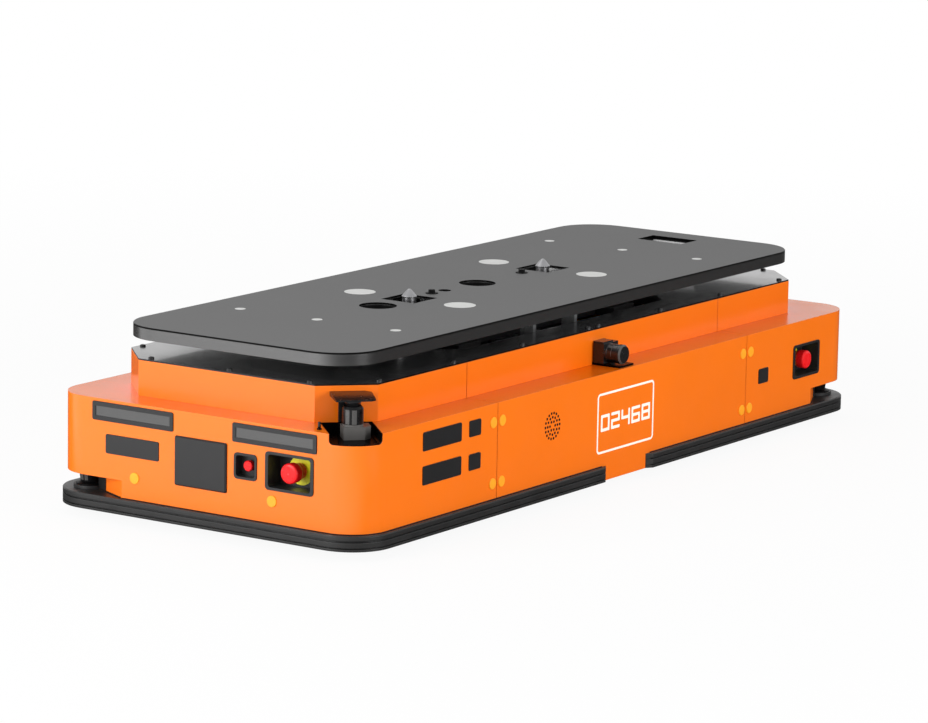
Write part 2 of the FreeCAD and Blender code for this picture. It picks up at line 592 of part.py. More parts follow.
CASTER_AT = (HALF_L - 280.0, HALF_W - 140.0)
CASTER_R, CASTER_W, CASTER_TRAIL = 45.0, 30.0, 35.0
WELL_HALF, WELL_T = 88.0, 4.0
CASTER_TOP = 118.0
CASTER_PLATE_T = 6.0
RACE_LOW = 100.0
KING_R, AXLE_R = 8.0, 6.0
FORK_GAP, FORK_T = 1.0, 5.0


def caster_pocket(cx, cy):
    """Square pocket over a caster: a top plate with the swivel race, on four walls."""
    a, b = WELL_HALF, WELL_HALF + WELL_T
    low = CASTER_TOP - CASTER_PLATE_T
    top = box(cx - b, cx + b, cy - b, cy + b, low, CASTER_TOP + WELL_T)
    top = top.fuse(rod(cx, cy, RACE_LOW, low, 30))
    top = top.cut(rod(cx, cy, RACE_LOW - 1, CASTER_TOP + 10, KING_R + RUN)).removeSplitter()
    return [top, box(cx - b, cx + b, cy + a, cy + b, BASE_TOP, low),
            box(cx - b, cx + b, cy - b, cy - a, BASE_TOP, low),
            box(cx + a, cx + b, cy - a, cy + a, BASE_TOP, low),
            box(cx - b, cx - a, cy - a, cy + a, BASE_TOP, low)]


def caster(cx, cy):
    ax = cx - CASTER_TRAIL
    half = CASTER_W / 2
    crown = rod(cx, cy, RACE_LOW - 7, RACE_LOW - RUN, 28)
    crown = crown.fuse(box(ax - 14, cx, cy - half - FORK_GAP - FORK_T, cy + half + FORK_GAP + FORK_T,
                           RACE_LOW - 7, RACE_LOW - RUN))
    legs = []
    for s in (1, -1):
        y0 = cy + s * (half + FORK_GAP)
        y1 = y0 + s * FORK_T
        lo, hi = min(y0, y1), max(y0, y1)
        leg = Part.Face(Part.makePolygon([V(cx + 18, lo, RACE_LOW - RUN), V(ax - 14, lo, RACE_LOW - RUN),
                                          V(ax - 14, lo, CASTER_R), V(ax - 8, lo, CASTER_R - 12),
                                          V(ax + 8, lo, CASTER_R - 12), V(ax + 14, lo, CASTER_R),
                                          V(cx + 18, lo, RACE_LOW - RUN)])).extrude(V(0, hi - lo, 0))
        legs.append(leg)
    axle = rod_y(ax, cy - half - FORK_GAP - FORK_T - 2, cy + half + FORK_GAP + FORK_T + 2, CASTER_R, AXLE_R)
    king = rod(cx, cy, RACE_LOW - 7, CASTER_TOP + WELL_T, KING_R)
    fork = fused([crown, king, axle] + legs)
    wheel = turned_y([(AXLE_R + RUN, cy - half), (CASTER_R - 3, cy - half), (CASTER_R, cy - half + 4),
                      (CASTER_R, cy + half - 4), (CASTER_R - 3, cy + half), (AXLE_R + RUN, cy + half)],
                     ax, CASTER_R)
    return fork, wheel


CASTERS = {"front_left": (1, 1), "front_right": (1, -1), "rear_left": (-1, 1), "rear_right": (-1, -1)}
caster_parts = {name: caster(sx * CASTER_AT[0], sy * CASTER_AT[1]) for name, (sx, sy) in CASTERS.items()}

# ---------------------------------------------------------------- base plate and welded frame

base = slab(BODY_LENGTH - 2 * SHEET, BODY_WIDTH - 2 * SHEET, BODY_CORNER_R - SHEET, BODY_Z, BASE_TOP)
base = base.cut(both(safety_notch(SHEET, BODY_Z - 1, BASE_TOP + 1)))
stand = rod(SAFETY_AT[0], SAFETY_AT[1], BODY_Z, BASE_TOP, STAND_R)
base = fused([base] + both(stand))
wheel_hole = box(-WHEEL_R - 7, WHEEL_R + 7, w0 - 8, w1 + 8, BODY_Z - 1, BASE_TOP + 1)
wells = four(at(CASTER_AT[0], CASTER_AT[1], 2 * WELL_HALF, 2 * WELL_HALF, BODY_Z - 1, BASE_TOP + 1))
base = base.cut([wheel_hole, mirror_y(wheel_hole)] + wells)

RAIL_Y0, RAIL_W, RAIL_H, RAIL_T = 108.0, 30.0, 40.0, 3.0
RAIL_Z = WHEEL_R + MOTOR_R + 7.0      # the rails pass over the drive motors
RAIL_TOP = RAIL_Z + RAIL_H
RAIL_X = HALF_L - 70.0
LIFT_BASE = (OPENING_LENGTH / 2 + 10.0, OPENING_WIDTH / 2 - 27.0, 8.0)   # half sizes, thickness
LIFT_TOP = RAIL_TOP + LIFT_BASE[2]
BULKHEADS = (130.0, LIFT_BASE[0] + 10.0, HALF_L - 130.0)
BULK_T = 8.0
tube = box(-RAIL_X, RAIL_X, RAIL_Y0, RAIL_Y0 + RAIL_W, RAIL_Z, RAIL_TOP)
tube = tube.cut(box(-BIG, BIG, RAIL_Y0 + RAIL_T, RAIL_Y0 + RAIL_W - RAIL_T, RAIL_Z + RAIL_T,
                    RAIL_TOP - RAIL_T))
frame_parts = [tube, mirror_y(tube)]
for x in BULKHEADS:
    wall = at(x, 0, BULK_T, 2 * (RAIL_Y0 + RAIL_W), BASE_TOP, RAIL_Z)
    frame_parts += [wall, mirror_x(wall)]
# ring of bars under the deck opening, on a portal at each end and four side posts
RING_W, RING_H = 35.0, 20.0
RING_LOW = DECK_LOW - RING_H
ox, oy, oc = OPENING_LENGTH / 2, OPENING_WIDTH / 2, OPENING_CHAMFER
side_bar = box(-ox - RING_W, ox + RING_W, oy, oy + RING_W, RING_LOW, DECK_LOW)
end_bar = box(ox, ox + RING_W, -oy, oy, RING_LOW, DECK_LOW)
gusset = prism([(ox, oy), (ox - oc, oy), (ox, oy - oc)], RING_LOW, DECK_LOW)
frame_parts += [side_bar, mirror_y(side_bar), end_bar, mirror_x(end_bar)] + four(gusset)
PORTAL_X, PORTAL_Y = ox + RING_W / 2, oy + RING_W - 10
PORTAL_T, LEG_W, SILL_H = 8.0, 40.0, 22.0
sill = at(PORTAL_X, 0, PORTAL_T, 2 * PORTAL_Y, RAIL_TOP, RAIL_TOP + SILL_H)
leg = at(PORTAL_X, PORTAL_Y - LEG_W / 2, PORTAL_T, LEG_W, RAIL_TOP + SILL_H, RING_LOW)
frame_parts += [sill, mirror_x(sill)] + four(leg)
POST_X, POST_SIZE = 200.0, (30.0, 22.0)
frame_parts += four(at(POST_X, oy + 6 + POST_SIZE[1] / 2, *POST_SIZE, BASE_TOP, RING_LOW))

# ---------------------------------------------------------------- battery and controller

# x from, x to, half width, height: both stand between the bulkheads
BATTERY = (LIFT_BASE[0] + 40.0, HALF_L - 150.0, 100.0, 160.0)
CONTROLLER = (150.0 - HALF_L, -LIFT_BASE[0] - 40.0, 100.0, 130.0)


def case(x0, x1, half, height, rib):
    body = box(x0, x1, -half, half, BASE_TOP, BASE_TOP + height)
    upright = [e for e in body.Edges if abs(e.BoundBox.ZMax - e.BoundBox.ZMin) > height - 1]
    body = body.makeFillet(8.0, upright)
    n = int((x1 - x0 - 60) // rib)
    cuts = [box(x0 + 40 + i * rib, x0 + 48 + i * rib, -half + 20, half - 20,
                BASE_TOP + height - 4, BASE_TOP + height + 1) for i in range(n)]
    return body.cut(cuts)


battery = case(*BATTERY, 40.0)
controller = case(*CONTROLLER, 20.0)

# ---------------------------------------------------------------- lift: base, guides, bevel boxes, screws

COLUMN_AT = (79.0, OPENING_WIDTH / 2 - 45.0)
COLUMN = (10.0, 32.0)
COLUMN_LOW = LIFT_TOP + 7.0
GUIDE = (34.0, 54.0, DECK_LOW - 28.0)         # block size and the height of its top
LIFT_SCREW_X = 150.0
LIFT_SCREW_R = 10.0
SHAFT_Z = LIFT_TOP + 30.0
SCREW_LOW, SCREW_TOP = SHAFT_Z + 12.0, DECK_TOP + 5.0
BOX_HALF = 40.0
BOX_TOP = SHAFT_Z + 30.0
LINE_R = 8.0
BEAM_H = 20.0
BEAM_Z1 = DECK_TOP - 5.0
BEAM_Z0 = BEAM_Z1 - BEAM_H
NUT_R, NUT_LOW = 20.0, BEAM_Z0 - 8.0
BEAM_X = (255.0, 335.0)
BEAM_Y = COLUMN_AT[1]
MOTOR2 = (-365.0, 28.0)                       # end of the lift motor and its radius


cx, cy = COLUMN_AT
column = at(cx, cy, COLUMN[0], COLUMN[1], COLUMN_LOW, PLATE_LOW)
for dy in (-8.0, 8.0):
    column = column.cut(box(cx + COLUMN[0] / 2 - 1.5, cx + COLUMN[0], cy + dy - 1.5, cy + dy + 1.5,
                            COLUMN_LOW - 1, PLATE_LOW - 12))
column_hole = at(cx, cy, COLUMN[0] + 2 * RUN, COLUMN[1] + 2 * RUN, 0, PLATE_TOP)
guide = at(cx, cy, GUIDE[0], GUIDE[1], LIFT_TOP, GUIDE[2])
lx, ly, lt = LIFT_BASE
lift_base = slab(2 * lx, 2 * ly, 25, RAIL_TOP, LIFT_TOP)
lift_base = fused([lift_base] + four(guide)).cut(four(column_hole))
columns = four(column)

bevel = at(LIFT_SCREW_X, 0, 2 * BOX_HALF, 70, LIFT_TOP, BOX_TOP)
bevel = bevel.cut([rod(LIFT_SCREW_X, 0, SCREW_LOW - RUN, PLATE_TOP, LIFT_SCREW_R + RUN),
                   rod_x(-lx, lx, 0, SHAFT_Z, LINE_R + RUN)])
motor_x0, motor_r = MOTOR2
lift_motor = rod_x(motor_x0, -LIFT_SCREW_X - BOX_HALF, 0, SHAFT_Z, motor_r)
lift_motor = lift_motor.cut(rod_x(-LIFT_SCREW_X - BOX_HALF - 30, 0, 0, SHAFT_Z, LINE_R + RUN))
saddle = box(motor_x0 + 40, motor_x0 + 60, -22, 22, LIFT_TOP, SHAFT_Z)
saddle = saddle.cut(rod_x(motor_x0, 0, 0, SHAFT_Z, motor_r))
line_shaft = rod_x(-LIFT_SCREW_X - BOX_HALF - 29, LIFT_SCREW_X + BOX_HALF - 4, 0, SHAFT_Z, LINE_R)
sleeve = rod_x(-60, 60, 0, SHAFT_Z, LINE_R + 5)
line_shaft = fused([line_shaft, sleeve])

lift_screw = rod(LIFT_SCREW_X, 0, SCREW_LOW, SCREW_TOP, LIFT_SCREW_R)

# Carriage: cross beams, side bars, nut bars and four uprights to the plate
BAR_Y = (COLUMN_AT[1] - 72.0, COLUMN_AT[1] - 47.0)
NUT_BAR = (125.0, 175.0)
UPRIGHT_AT = (318.0, COLUMN_AT[1] - 32.0)
TONGUE = (225.0, 30.0)
bx0, bx1 = BEAM_X
carriage_parts = []
for s in (1, -1):
    xa, xb = sorted((s * bx0, s * bx1))
    carriage_parts.append(box(xa, xb, -BEAM_Y, BEAM_Y, BEAM_Z0, BEAM_Z1))
    xa, xb = sorted((s * TONGUE[0], s * bx0))
    carriage_parts.append(box(xa, xb, -TONGUE[1], TONGUE[1], BEAM_Z0, BEAM_Z1))
    xa, xb = sorted((s * NUT_BAR[0], s * NUT_BAR[1]))
    carriage_parts.append(box(xa, xb, -BAR_Y[0], BAR_Y[0], BEAM_Z0, BEAM_Z1))
    carriage_parts.append(rod(s * LIFT_SCREW_X, 0, NUT_LOW, BEAM_Z0, NUT_R))
    ya, yb = sorted((s * BAR_Y[0], s * BAR_Y[1]))
    carriage_parts.append(box(-bx0, bx0, ya, yb, BEAM_Z0, BEAM_Z1 - 4))
carriage_parts += four(rod(UPRIGHT_AT[0], UPRIGHT_AT[1], BEAM_Z1, PLATE_LOW, 12.0))
carriage = fused(carriage_parts)
carriage = carriage.cut([rod(s * LIFT_SCREW_X, 0, NUT_LOW - 1, BEAM_Z1 + 1, LIFT_SCREW_R + RUN)
                         for s in (1, -1)])

# Docking pins on the carriage tongues, standing up through the square cut-outs
PIN_R, CONE_R, CONE_Z, CONE_TOP = 14.5, 15.7, PLATE_TOP + 5.5, PLATE_TOP + 20.0
pin = turned([(0, BEAM_Z1), (20, BEAM_Z1), (20, BEAM_Z1 + 6), (PIN_R, BEAM_Z1 + 6), (PIN_R, CONE_Z - 2),
              (CONE_R, CONE_Z - 1), (CONE_R, CONE_Z), (4.0, CONE_TOP - 1), (2.5, CONE_TOP), (0, CONE_TOP)],
             PIN_X, 0)

# ---------------------------------------------------------------- lift plate: folded tray with ribs

tray = slab(PLATE_LENGTH, PLATE_WIDTH, PLATE_R, PLATE_LOW, PLATE_TOP)
top_edges = [e for e in tray.Edges if abs(e.BoundBox.ZMin - PLATE_TOP) < 0.01]
tray = tray.makeChamfer(1.2, top_edges)
hollow = slab(PLATE_LENGTH - 2 * SKIRT_T, PLATE_WIDTH - 2 * SKIRT_T, PLATE_R - SKIRT_T,
              PLATE_LOW - 1, RIB_TOP)
tray = tray.cut(hollow)
pin_cut = at(PIN_X, 0, PIN_CUT, PIN_CUT, PLATE_LOW - 1, PLATE_TOP + 1)
slot_cut = at(SLOT_X, 0, SLOT_SIZE[0], SLOT_SIZE[1], PLATE_LOW - 1, PLATE_TOP + 1)
plate_cuts = [pin_cut, mirror_x(pin_cut), slot_cut]
plate_cuts += [rod(x, 0, PLATE_LOW - 1, PLATE_TOP + 1, HOLE_R) for x in CAMERA_X]
plate_cuts.append(rod(SMALL_HOLE_X, 0, PLATE_LOW - 1, PLATE_TOP + 1, SMALL_HOLE_R))
pad_floor = PLATE_TOP - PAD_T
pads = []
for r, px, rows in ((PAD_R, PAD_AT[0], (PAD_AT[1], -PAD_AT[1])),
                    (PLUG_R, PLUG_AT[0], (PLUG_AT[1], 0.0, -PLUG_AT[1]))):
    for s in (1, -1):
        for py in rows:
            plate_cuts.append(rod(s * px, py, pad_floor, PLATE_TOP + 1, r))
            pads.append(rod(s * px, py, pad_floor, PLATE_TOP + PAD_PROUD, r - RUN))
BOLT_R = 5.0
plate_cuts += [rod(s * BOLT_X, 0, RIB_TOP - 1, PLATE_TOP + 1, BOLT_R + SCREW_EASE) for s in (1, -1)]
lift_plate = tray.cut(plate_cuts)


def plate_bolt(x):
    body = turned([(0, RIB_TOP - 6), (BOLT_R, RIB_TOP - 6), (BOLT_R, PLATE_TOP), (13, PLATE_TOP),
                   (13, PLATE_TOP + 1.5), (9, PLATE_TOP + 2), (0, PLATE_TOP + 2)], x, 0)
    hexagon = prism([(x + 7 * math.cos(math.radians(60 * i)), 7 * math.sin(math.radians(60 * i)))
                     for i in range(6)], PLATE_TOP + 2, PLATE_TOP + 8)
    return body.fuse(hexagon)


plate_bolts = [plate_bolt(s * BOLT_X) for s in (1, -1)]

# Ribs under the tray: two long ones over the columns, cross ribs over the uprights
RIB_W = 34.0
RIB_X = PLATE_LENGTH / 2 - 37.0
END_RIB = 20.0
HOLE_CLEAR = 6.0                              # keeps the ribs out of sight of the camera holes
rib_edge = COLUMN_AT[1] + RIB_W / 2
rib_inner = COLUMN_AT[1] - RIB_W / 2
long_rib = box(-RIB_X, RIB_X, rib_inner, rib_edge, PLATE_LOW, RIB_TOP)
end_rib = box(RIB_X - END_RIB, RIB_X, -rib_inner, rib_inner, PLATE_LOW, RIB_TOP)
ribs = [long_rib, mirror_y(long_rib), end_rib, mirror_x(end_rib)]
skirt_y = PLATE_WIDTH / 2 - SKIRT_T
for x, inner_from in ((UPRIGHT_AT[0], HOLE_R + HOLE_CLEAR), (RIB_X - 270.0, 0.0), (RIB_X - 140.0, 0.0)):
    ribs += four(box(x - RIB_W / 2, x + RIB_W / 2, rib_edge, skirt_y, PLATE_LOW, RIB_TOP))
    ribs += four(box(x - RIB_W / 2, x + RIB_W / 2, inner_from, rib_inner, PLATE_LOW, RIB_TOP))

# Cameras that look up through the two round holes
CAMERA_R, CAMERA_TOP = 25.0, DECK_TOP - 21.0


def camera(x, low):
    body = turned([(0, low), (CAMERA_R, low), (CAMERA_R, CAMERA_TOP - 18), (19, CAMERA_TOP - 12),
                   (19, CAMERA_TOP), (13, CAMERA_TOP), (10, CAMERA_TOP - 6), (0, CAMERA_TOP - 6)], x, 0)
    return body


bridge = box(-20, 20, -45, 45, SHAFT_Z + 16, SHAFT_Z + 22)
bridge = bridge.fuse([box(-20, 20, s * 42 - 3, s * 42 + 3, LIFT_TOP, SHAFT_Z + 22) for s in (1, -1)])
cameras = [camera(CAMERA_X[0], SHAFT_Z + 22).fuse(bridge).removeSplitter(), camera(CAMERA_X[1], LIFT_TOP)]

# ---------------------------------------------------------------- lidars

LIDAR_BASE, LIDAR_BASE_H = 42.0, 25.0
LIDAR_WEDGE = 13.0             # the base's slanted connector side
LIDAR_R, LIDAR_H = 20.5, 63.0


def lidar():
    """Drawn standing on z = 0 with its window turned up."""
    s, w = LIDAR_BASE / 2, LIDAR_WEDGE
    block = prism([(-s, -s), (s, -s), (s + w, w - s), (s + w, s), (-s, s)], 0, LIDAR_BASE_H)
    r = LIDAR_R
    head = turned([(0, LIDAR_BASE_H - 1), (r, LIDAR_BASE_H - 1), (r, LIDAR_BASE_H + 4),
                   (r - 1, LIDAR_BASE_H + 5), (r - 1, LIDAR_H - 12), (r, LIDAR_H - 11), (r, LIDAR_H - 4),
                   (r - 3, LIDAR_H), (0, LIDAR_H)])
    return fused([block, head])


# corner units: in a black tray that lines the diagonal slot
LIDAR_D, LIDAR_W = 59.5, 3.0
TRAY_T = 1.5
SLOT_FLOOR = LEDGE_Z - SLOT_DEPTH + TRAY_T
slot_tray = diagonal_slot(0.0).cut(diagonal_slot(-TRAY_T))
slot_tray = slot_tray.common(slab(BODY_LENGTH - 2, BODY_WIDTH - 2, BODY_CORNER_R - 1, BODY_Z, LEDGE_Z))
corner = lidar()
corner.rotate(V(0, 0, 0), V(0, 0, 1), 90)
corner.translate(V(LIDAR_D, LIDAR_W, SLOT_FLOOR))
corner_lidars = both(diag(corner))

COVER_Z = SLOT_FLOOR + LIDAR_H + 9.0
COVER_T = 3.0
POST_D0, POST_D1 = 24.0, 28.0
COVER_RISE = 6.0               # the cover's top slopes up to the upper body
cover_pts = [(0, -33), (66, -31), (66, 38), (58, 48), (10, 48), (0, 36)]
cover = prism(cover_pts, COVER_Z, COVER_Z + COVER_T + COVER_RISE)
above = Part.Face(Part.makePolygon([V(-1, -60, COVER_Z + COVER_T + COVER_RISE), V(66, -60, COVER_Z + COVER_T),
                                    V(90, -60, COVER_Z + COVER_T), V(90, -60, COVER_Z + 40),
                                    V(-1, -60, COVER_Z + 40),
                                    V(-1, -60, COVER_Z + COVER_T + COVER_RISE)])).extrude(V(0, 120, 0))
cover = cover.cut(above)
cover = fused([cover, box(POST_D0, POST_D1, -20, 24, SLOT_FLOOR + 3, COVER_Z),
               box(POST_D0 - 18, POST_D1, -20, 24, SLOT_FLOOR, SLOT_FLOOR + 3),
               box(POST_D1, LIDAR_D - LIDAR_BASE / 2, -8, 12, SLOT_FLOOR, SLOT_FLOOR + 6),
               turned([(0, SLOT_FLOOR + LIDAR_H), (12, SLOT_FLOOR + LIDAR_H), (17, COVER_Z), (0, COVER_Z)],
                      LIDAR_D, LIDAR_W)])
corner_mounts = both(fused([diag(cover), slot_tray]))
# small locking stud beside the slot: back from the front end, in from the side of the upper body
STUD_FROM = (24.0, 42.0)
stud = turned([(0, LEDGE_Z), (5, LEDGE_Z), (5, LEDGE_Z + 2), (3, LEDGE_Z + 3), (3, LEDGE_Z + 14),
               (2, LEDGE_Z + 15), (0, LEDGE_Z + 15)], HALF_L - STUD_FROM[0], UPPER_WIDTH / 2 - STUD_FROM[1])
studs = both(stud)

# side units: lying on the ledge, looking outwards
SIDE_PAD = 4.0
SIDE_Z = LEDGE_Z + SIDE_PAD + 1.0 + LIDAR_BASE / 2
SIDE_BACK = 4.0
side_unit = lidar()
side_unit.rotate(V(0, 0, 0), V(0, 0, 1), 90)
side_unit.rotate(V(0, 0, 0), V(0, 1, 0), 90)
side_unit.translate(V(UPPER_WIDTH / 2 + SIDE_BACK, 0, SIDE_Z))
side_lidars = [face(side_unit, LEFT), face(side_unit, RIGHT)]
s0 = UPPER_WIDTH / 2
half = LIDAR_BASE / 2
holder = fused([box(s0, s0 + SIDE_BACK, -16, 24, LEDGE_Z + SIDE_PAD, SIDE_Z + 24),
                box(s0 + SIDE_BACK, s0 + 26, -19, 19, SIDE_Z + half, SIDE_Z + half + 3),
                box(s0 + SIDE_BACK, s0 + 14, -8, 8, LEDGE_Z + SIDE_PAD, SIDE_Z - half),
                box(s0, HALF_W - 8, -20, 34, LEDGE_Z, LEDGE_Z + SIDE_PAD)])
side_mounts = [face(holder, LEFT), face(holder, RIGHT)]

# safety units: window in the lower pocket, housing inside the body
sx0, sy0 = SAFETY_AT
r = SAFETY_R
safety = turned([(0, BASE_TOP), (r + 6, BASE_TOP), (r + 6, BASE_TOP + 2), (r + 1, BASE_TOP + 4),
                 (r - 3, BASE_TOP + 6), (r, SAFETY_ROOF - 3), (r, SAFETY_ROOF + SHEET),
                 (r + 6, SAFETY_ROOF + SHEET), (r + 6, SAFETY_ROOF + 45), (0, SAFETY_ROOF + 45)], sx0, sy0)
safety_lidars = both(safety)

# ---------------------------------------------------------------- export

export("base_plate", base)
export("chassis_frame", frame_parts)
export("lower_cover_front", lower_front)
export("lower_cover_rear", lower_rear)
export("side_panel_left", side_left)
export("side_panel_right", side_right)
export("upper_cover_front", upper_front)
export("upper_cover_rear", upper_rear)
export("upper_sides", [upper_left, upper_right])
export("deck_cover", deck)
export("deck_screws", deck_screws)
export("bumper_front", bumper_front)
export("bumper_rear", bumper_rear)
export("screw_caps", caps)
export("light_frames", lights)
export("light_lenses", lenses)
export("sensor_windows", windows)
export("service_panels", [hatch, face(charger, REAR)])
export("charging_contacts", contacts)
export("switch_housings", housings)
export("stop_collars", collars)
for (side, u), head in zip(STOPS, heads):
    export("stop_button_" + side, head)
export("reset_button", reset_button)
export("corner_lidars", corner_lidars)
export("side_lidars", side_lidars)
export("safety_lidars", safety_lidars)
export("lidar_mounts", corner_mounts + studs + side_mounts)
export("speakers", speakers)
pockets = [caster_pocket(sx * CASTER_AT[0], sy * CASTER_AT[1]) for sx, sy in CASTERS.values()]
export("caster_mounts", sum(pockets, []))
for name in CASTERS:
    export("caster_fork_" + name, caster_parts[name][0])
    export("caster_wheel_" + name, caster_parts[name][1])
export("drive_units", [drive_left, mirror_y(drive_left)])
for name, shapes in (("left", (hub, tyre)), ("right", (mirror_y(hub), mirror_y(tyre)))):
    export("drive_hub_" + name, shapes[0])
    export("drive_tyre_" + name, shapes[1])
export("battery_pack", battery)
export("controller_box", controller)
export("lift_base", lift_base)
export("lift_drive", [bevel, mirror_x(bevel), fused([lift_motor, saddle])])
export("lift_shaft", line_shaft)
export("lift_screw_front", lift_screw)
export("lift_screw_rear", mirror_x(lift_screw))
export("lift_columns", columns)
export("lift_carriage", carriage)
export("lift_plate", lift_plate)
export("plate_ribs", ribs)
export("plate_pads", pads)
export("plate_bolts", plate_bolts)
export("dock_pins", [pin, mirror_x(pin)])
export("cameras", cameras)
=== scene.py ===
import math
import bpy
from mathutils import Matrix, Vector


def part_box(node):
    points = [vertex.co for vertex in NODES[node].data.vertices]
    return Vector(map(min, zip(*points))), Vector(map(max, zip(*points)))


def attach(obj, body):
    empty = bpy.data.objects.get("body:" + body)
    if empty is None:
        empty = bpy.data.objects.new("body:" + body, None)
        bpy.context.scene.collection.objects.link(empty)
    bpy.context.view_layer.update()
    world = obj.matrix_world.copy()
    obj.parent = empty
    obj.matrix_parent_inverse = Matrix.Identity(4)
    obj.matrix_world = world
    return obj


bl_info = {
    "name": "Mobile robot finish",
    "version": (1, 0, 0),
    "blender": (4, 5, 0),
    "location": "3D View > Sidebar > Robot",
    "description": "Finishes, markings and stage for a low lifting mobile robot",
    "category": "Object",
}

import bmesh
import bpy
from bpy.props import FloatProperty, FloatVectorProperty, PointerProperty, StringProperty
from bpy.types import Operator, Panel, PropertyGroup
from mathutils import Matrix, Vector

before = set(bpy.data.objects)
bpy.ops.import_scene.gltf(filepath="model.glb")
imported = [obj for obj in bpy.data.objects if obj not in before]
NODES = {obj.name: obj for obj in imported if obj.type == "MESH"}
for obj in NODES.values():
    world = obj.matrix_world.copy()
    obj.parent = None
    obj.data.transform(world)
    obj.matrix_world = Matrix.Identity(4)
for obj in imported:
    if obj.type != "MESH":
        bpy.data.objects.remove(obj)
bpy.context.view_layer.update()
MM = 0.001
SIDES = (("left", 1), ("right", -1))
ENDS = (("front", 1), ("rear", -1))
LIDAR_CORNERS = (("front_left", 1), ("rear_right", -1))
SAFETY_CORNERS = (("front_right", 1), ("rear_left", -1))
SHARP = math.radians(32)  # edges sharper than this keep their crease
STRIP_SUNK = 0.3 * MM  # how far a curved strip reaches into the wall it lies on
LOWER_COVERS = ("lower_cover_front", "lower_cover_rear", "side_panel_left", "side_panel_right")
LOWS, HIGHS = zip(*(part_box(name) for name in LOWER_COVERS))
LOWER_BOX = (Vector(map(min, *LOWS)), Vector(map(max, *HIGHS)))
PLATE_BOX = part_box("lift_plate")


# ---------------------------------------------------------------- colours and materials

def tone(red, green, blue):
    """A colour written 0 to 255 as light values."""
    return tuple((c / 255 / 12.92) if c < 10.3 else ((c / 255 + 0.055) / 1.055) ** 2.4
                 for c in (red, green, blue))


class Nodes:
    """Builds the nodes of a world or a material from nothing."""

    def __init__(self, owner, output):
        owner.use_nodes = True
        self.nodes = owner.node_tree.nodes
        self.link = owner.node_tree.links.new
        self.nodes.clear()
        self.end = self.add(output).inputs[0]

    def add(self, kind, **values):
        """A new node; each value is a setting of the node, or else one of its inputs."""
        node = self.nodes.new(kind)
        for key, value in values.items():
            if hasattr(node, key):
                setattr(node, key, value)
            else:
                node.inputs[key.replace("_", " ")].default_value = value
        return node

    def maths(self, operation, first, second=0.0, clamp=False):
        """Calculates with numbers or outputs."""
        node = self.add("ShaderNodeMath", operation=operation, use_clamp=clamp)
        for socket, value in zip(node.inputs, (first, second)):
            if hasattr(value, "links"):
                self.link(value, socket)
            else:
                socket.default_value = value
        return node.outputs[0]

    def mix(self, factor, first, second):
        """Blends two shaders."""
        node = self.add("ShaderNodeMixShader")
        for socket, source in zip(node.inputs, (factor, first, second)):
            self.link(source, socket)
        return node.outputs[0]

    def spread(self, value, low, high, start=0.3, end=0.7):
        """Turns values from start to end into low to high."""
        node = self.add("ShaderNodeMapRange", From_Min=start, From_Max=end, To_Min=low, To_Max=high)
        self.link(value, node.inputs["Value"])
        return node.outputs["Result"]

    def where(self):
        """Place on the object, in metres."""
        return self.add("ShaderNodeTexCoord").outputs["Object"]

    def axis(self, name, outwards=False):
        """Place along X, Y or Z, or with outwards the distance from the middle."""
        parts = self.add("ShaderNodeSeparateXYZ")
        self.link(self.where(), parts.inputs[0])
        return self.maths("ABSOLUTE", parts.outputs[name]) if outwards else parts.outputs[name]


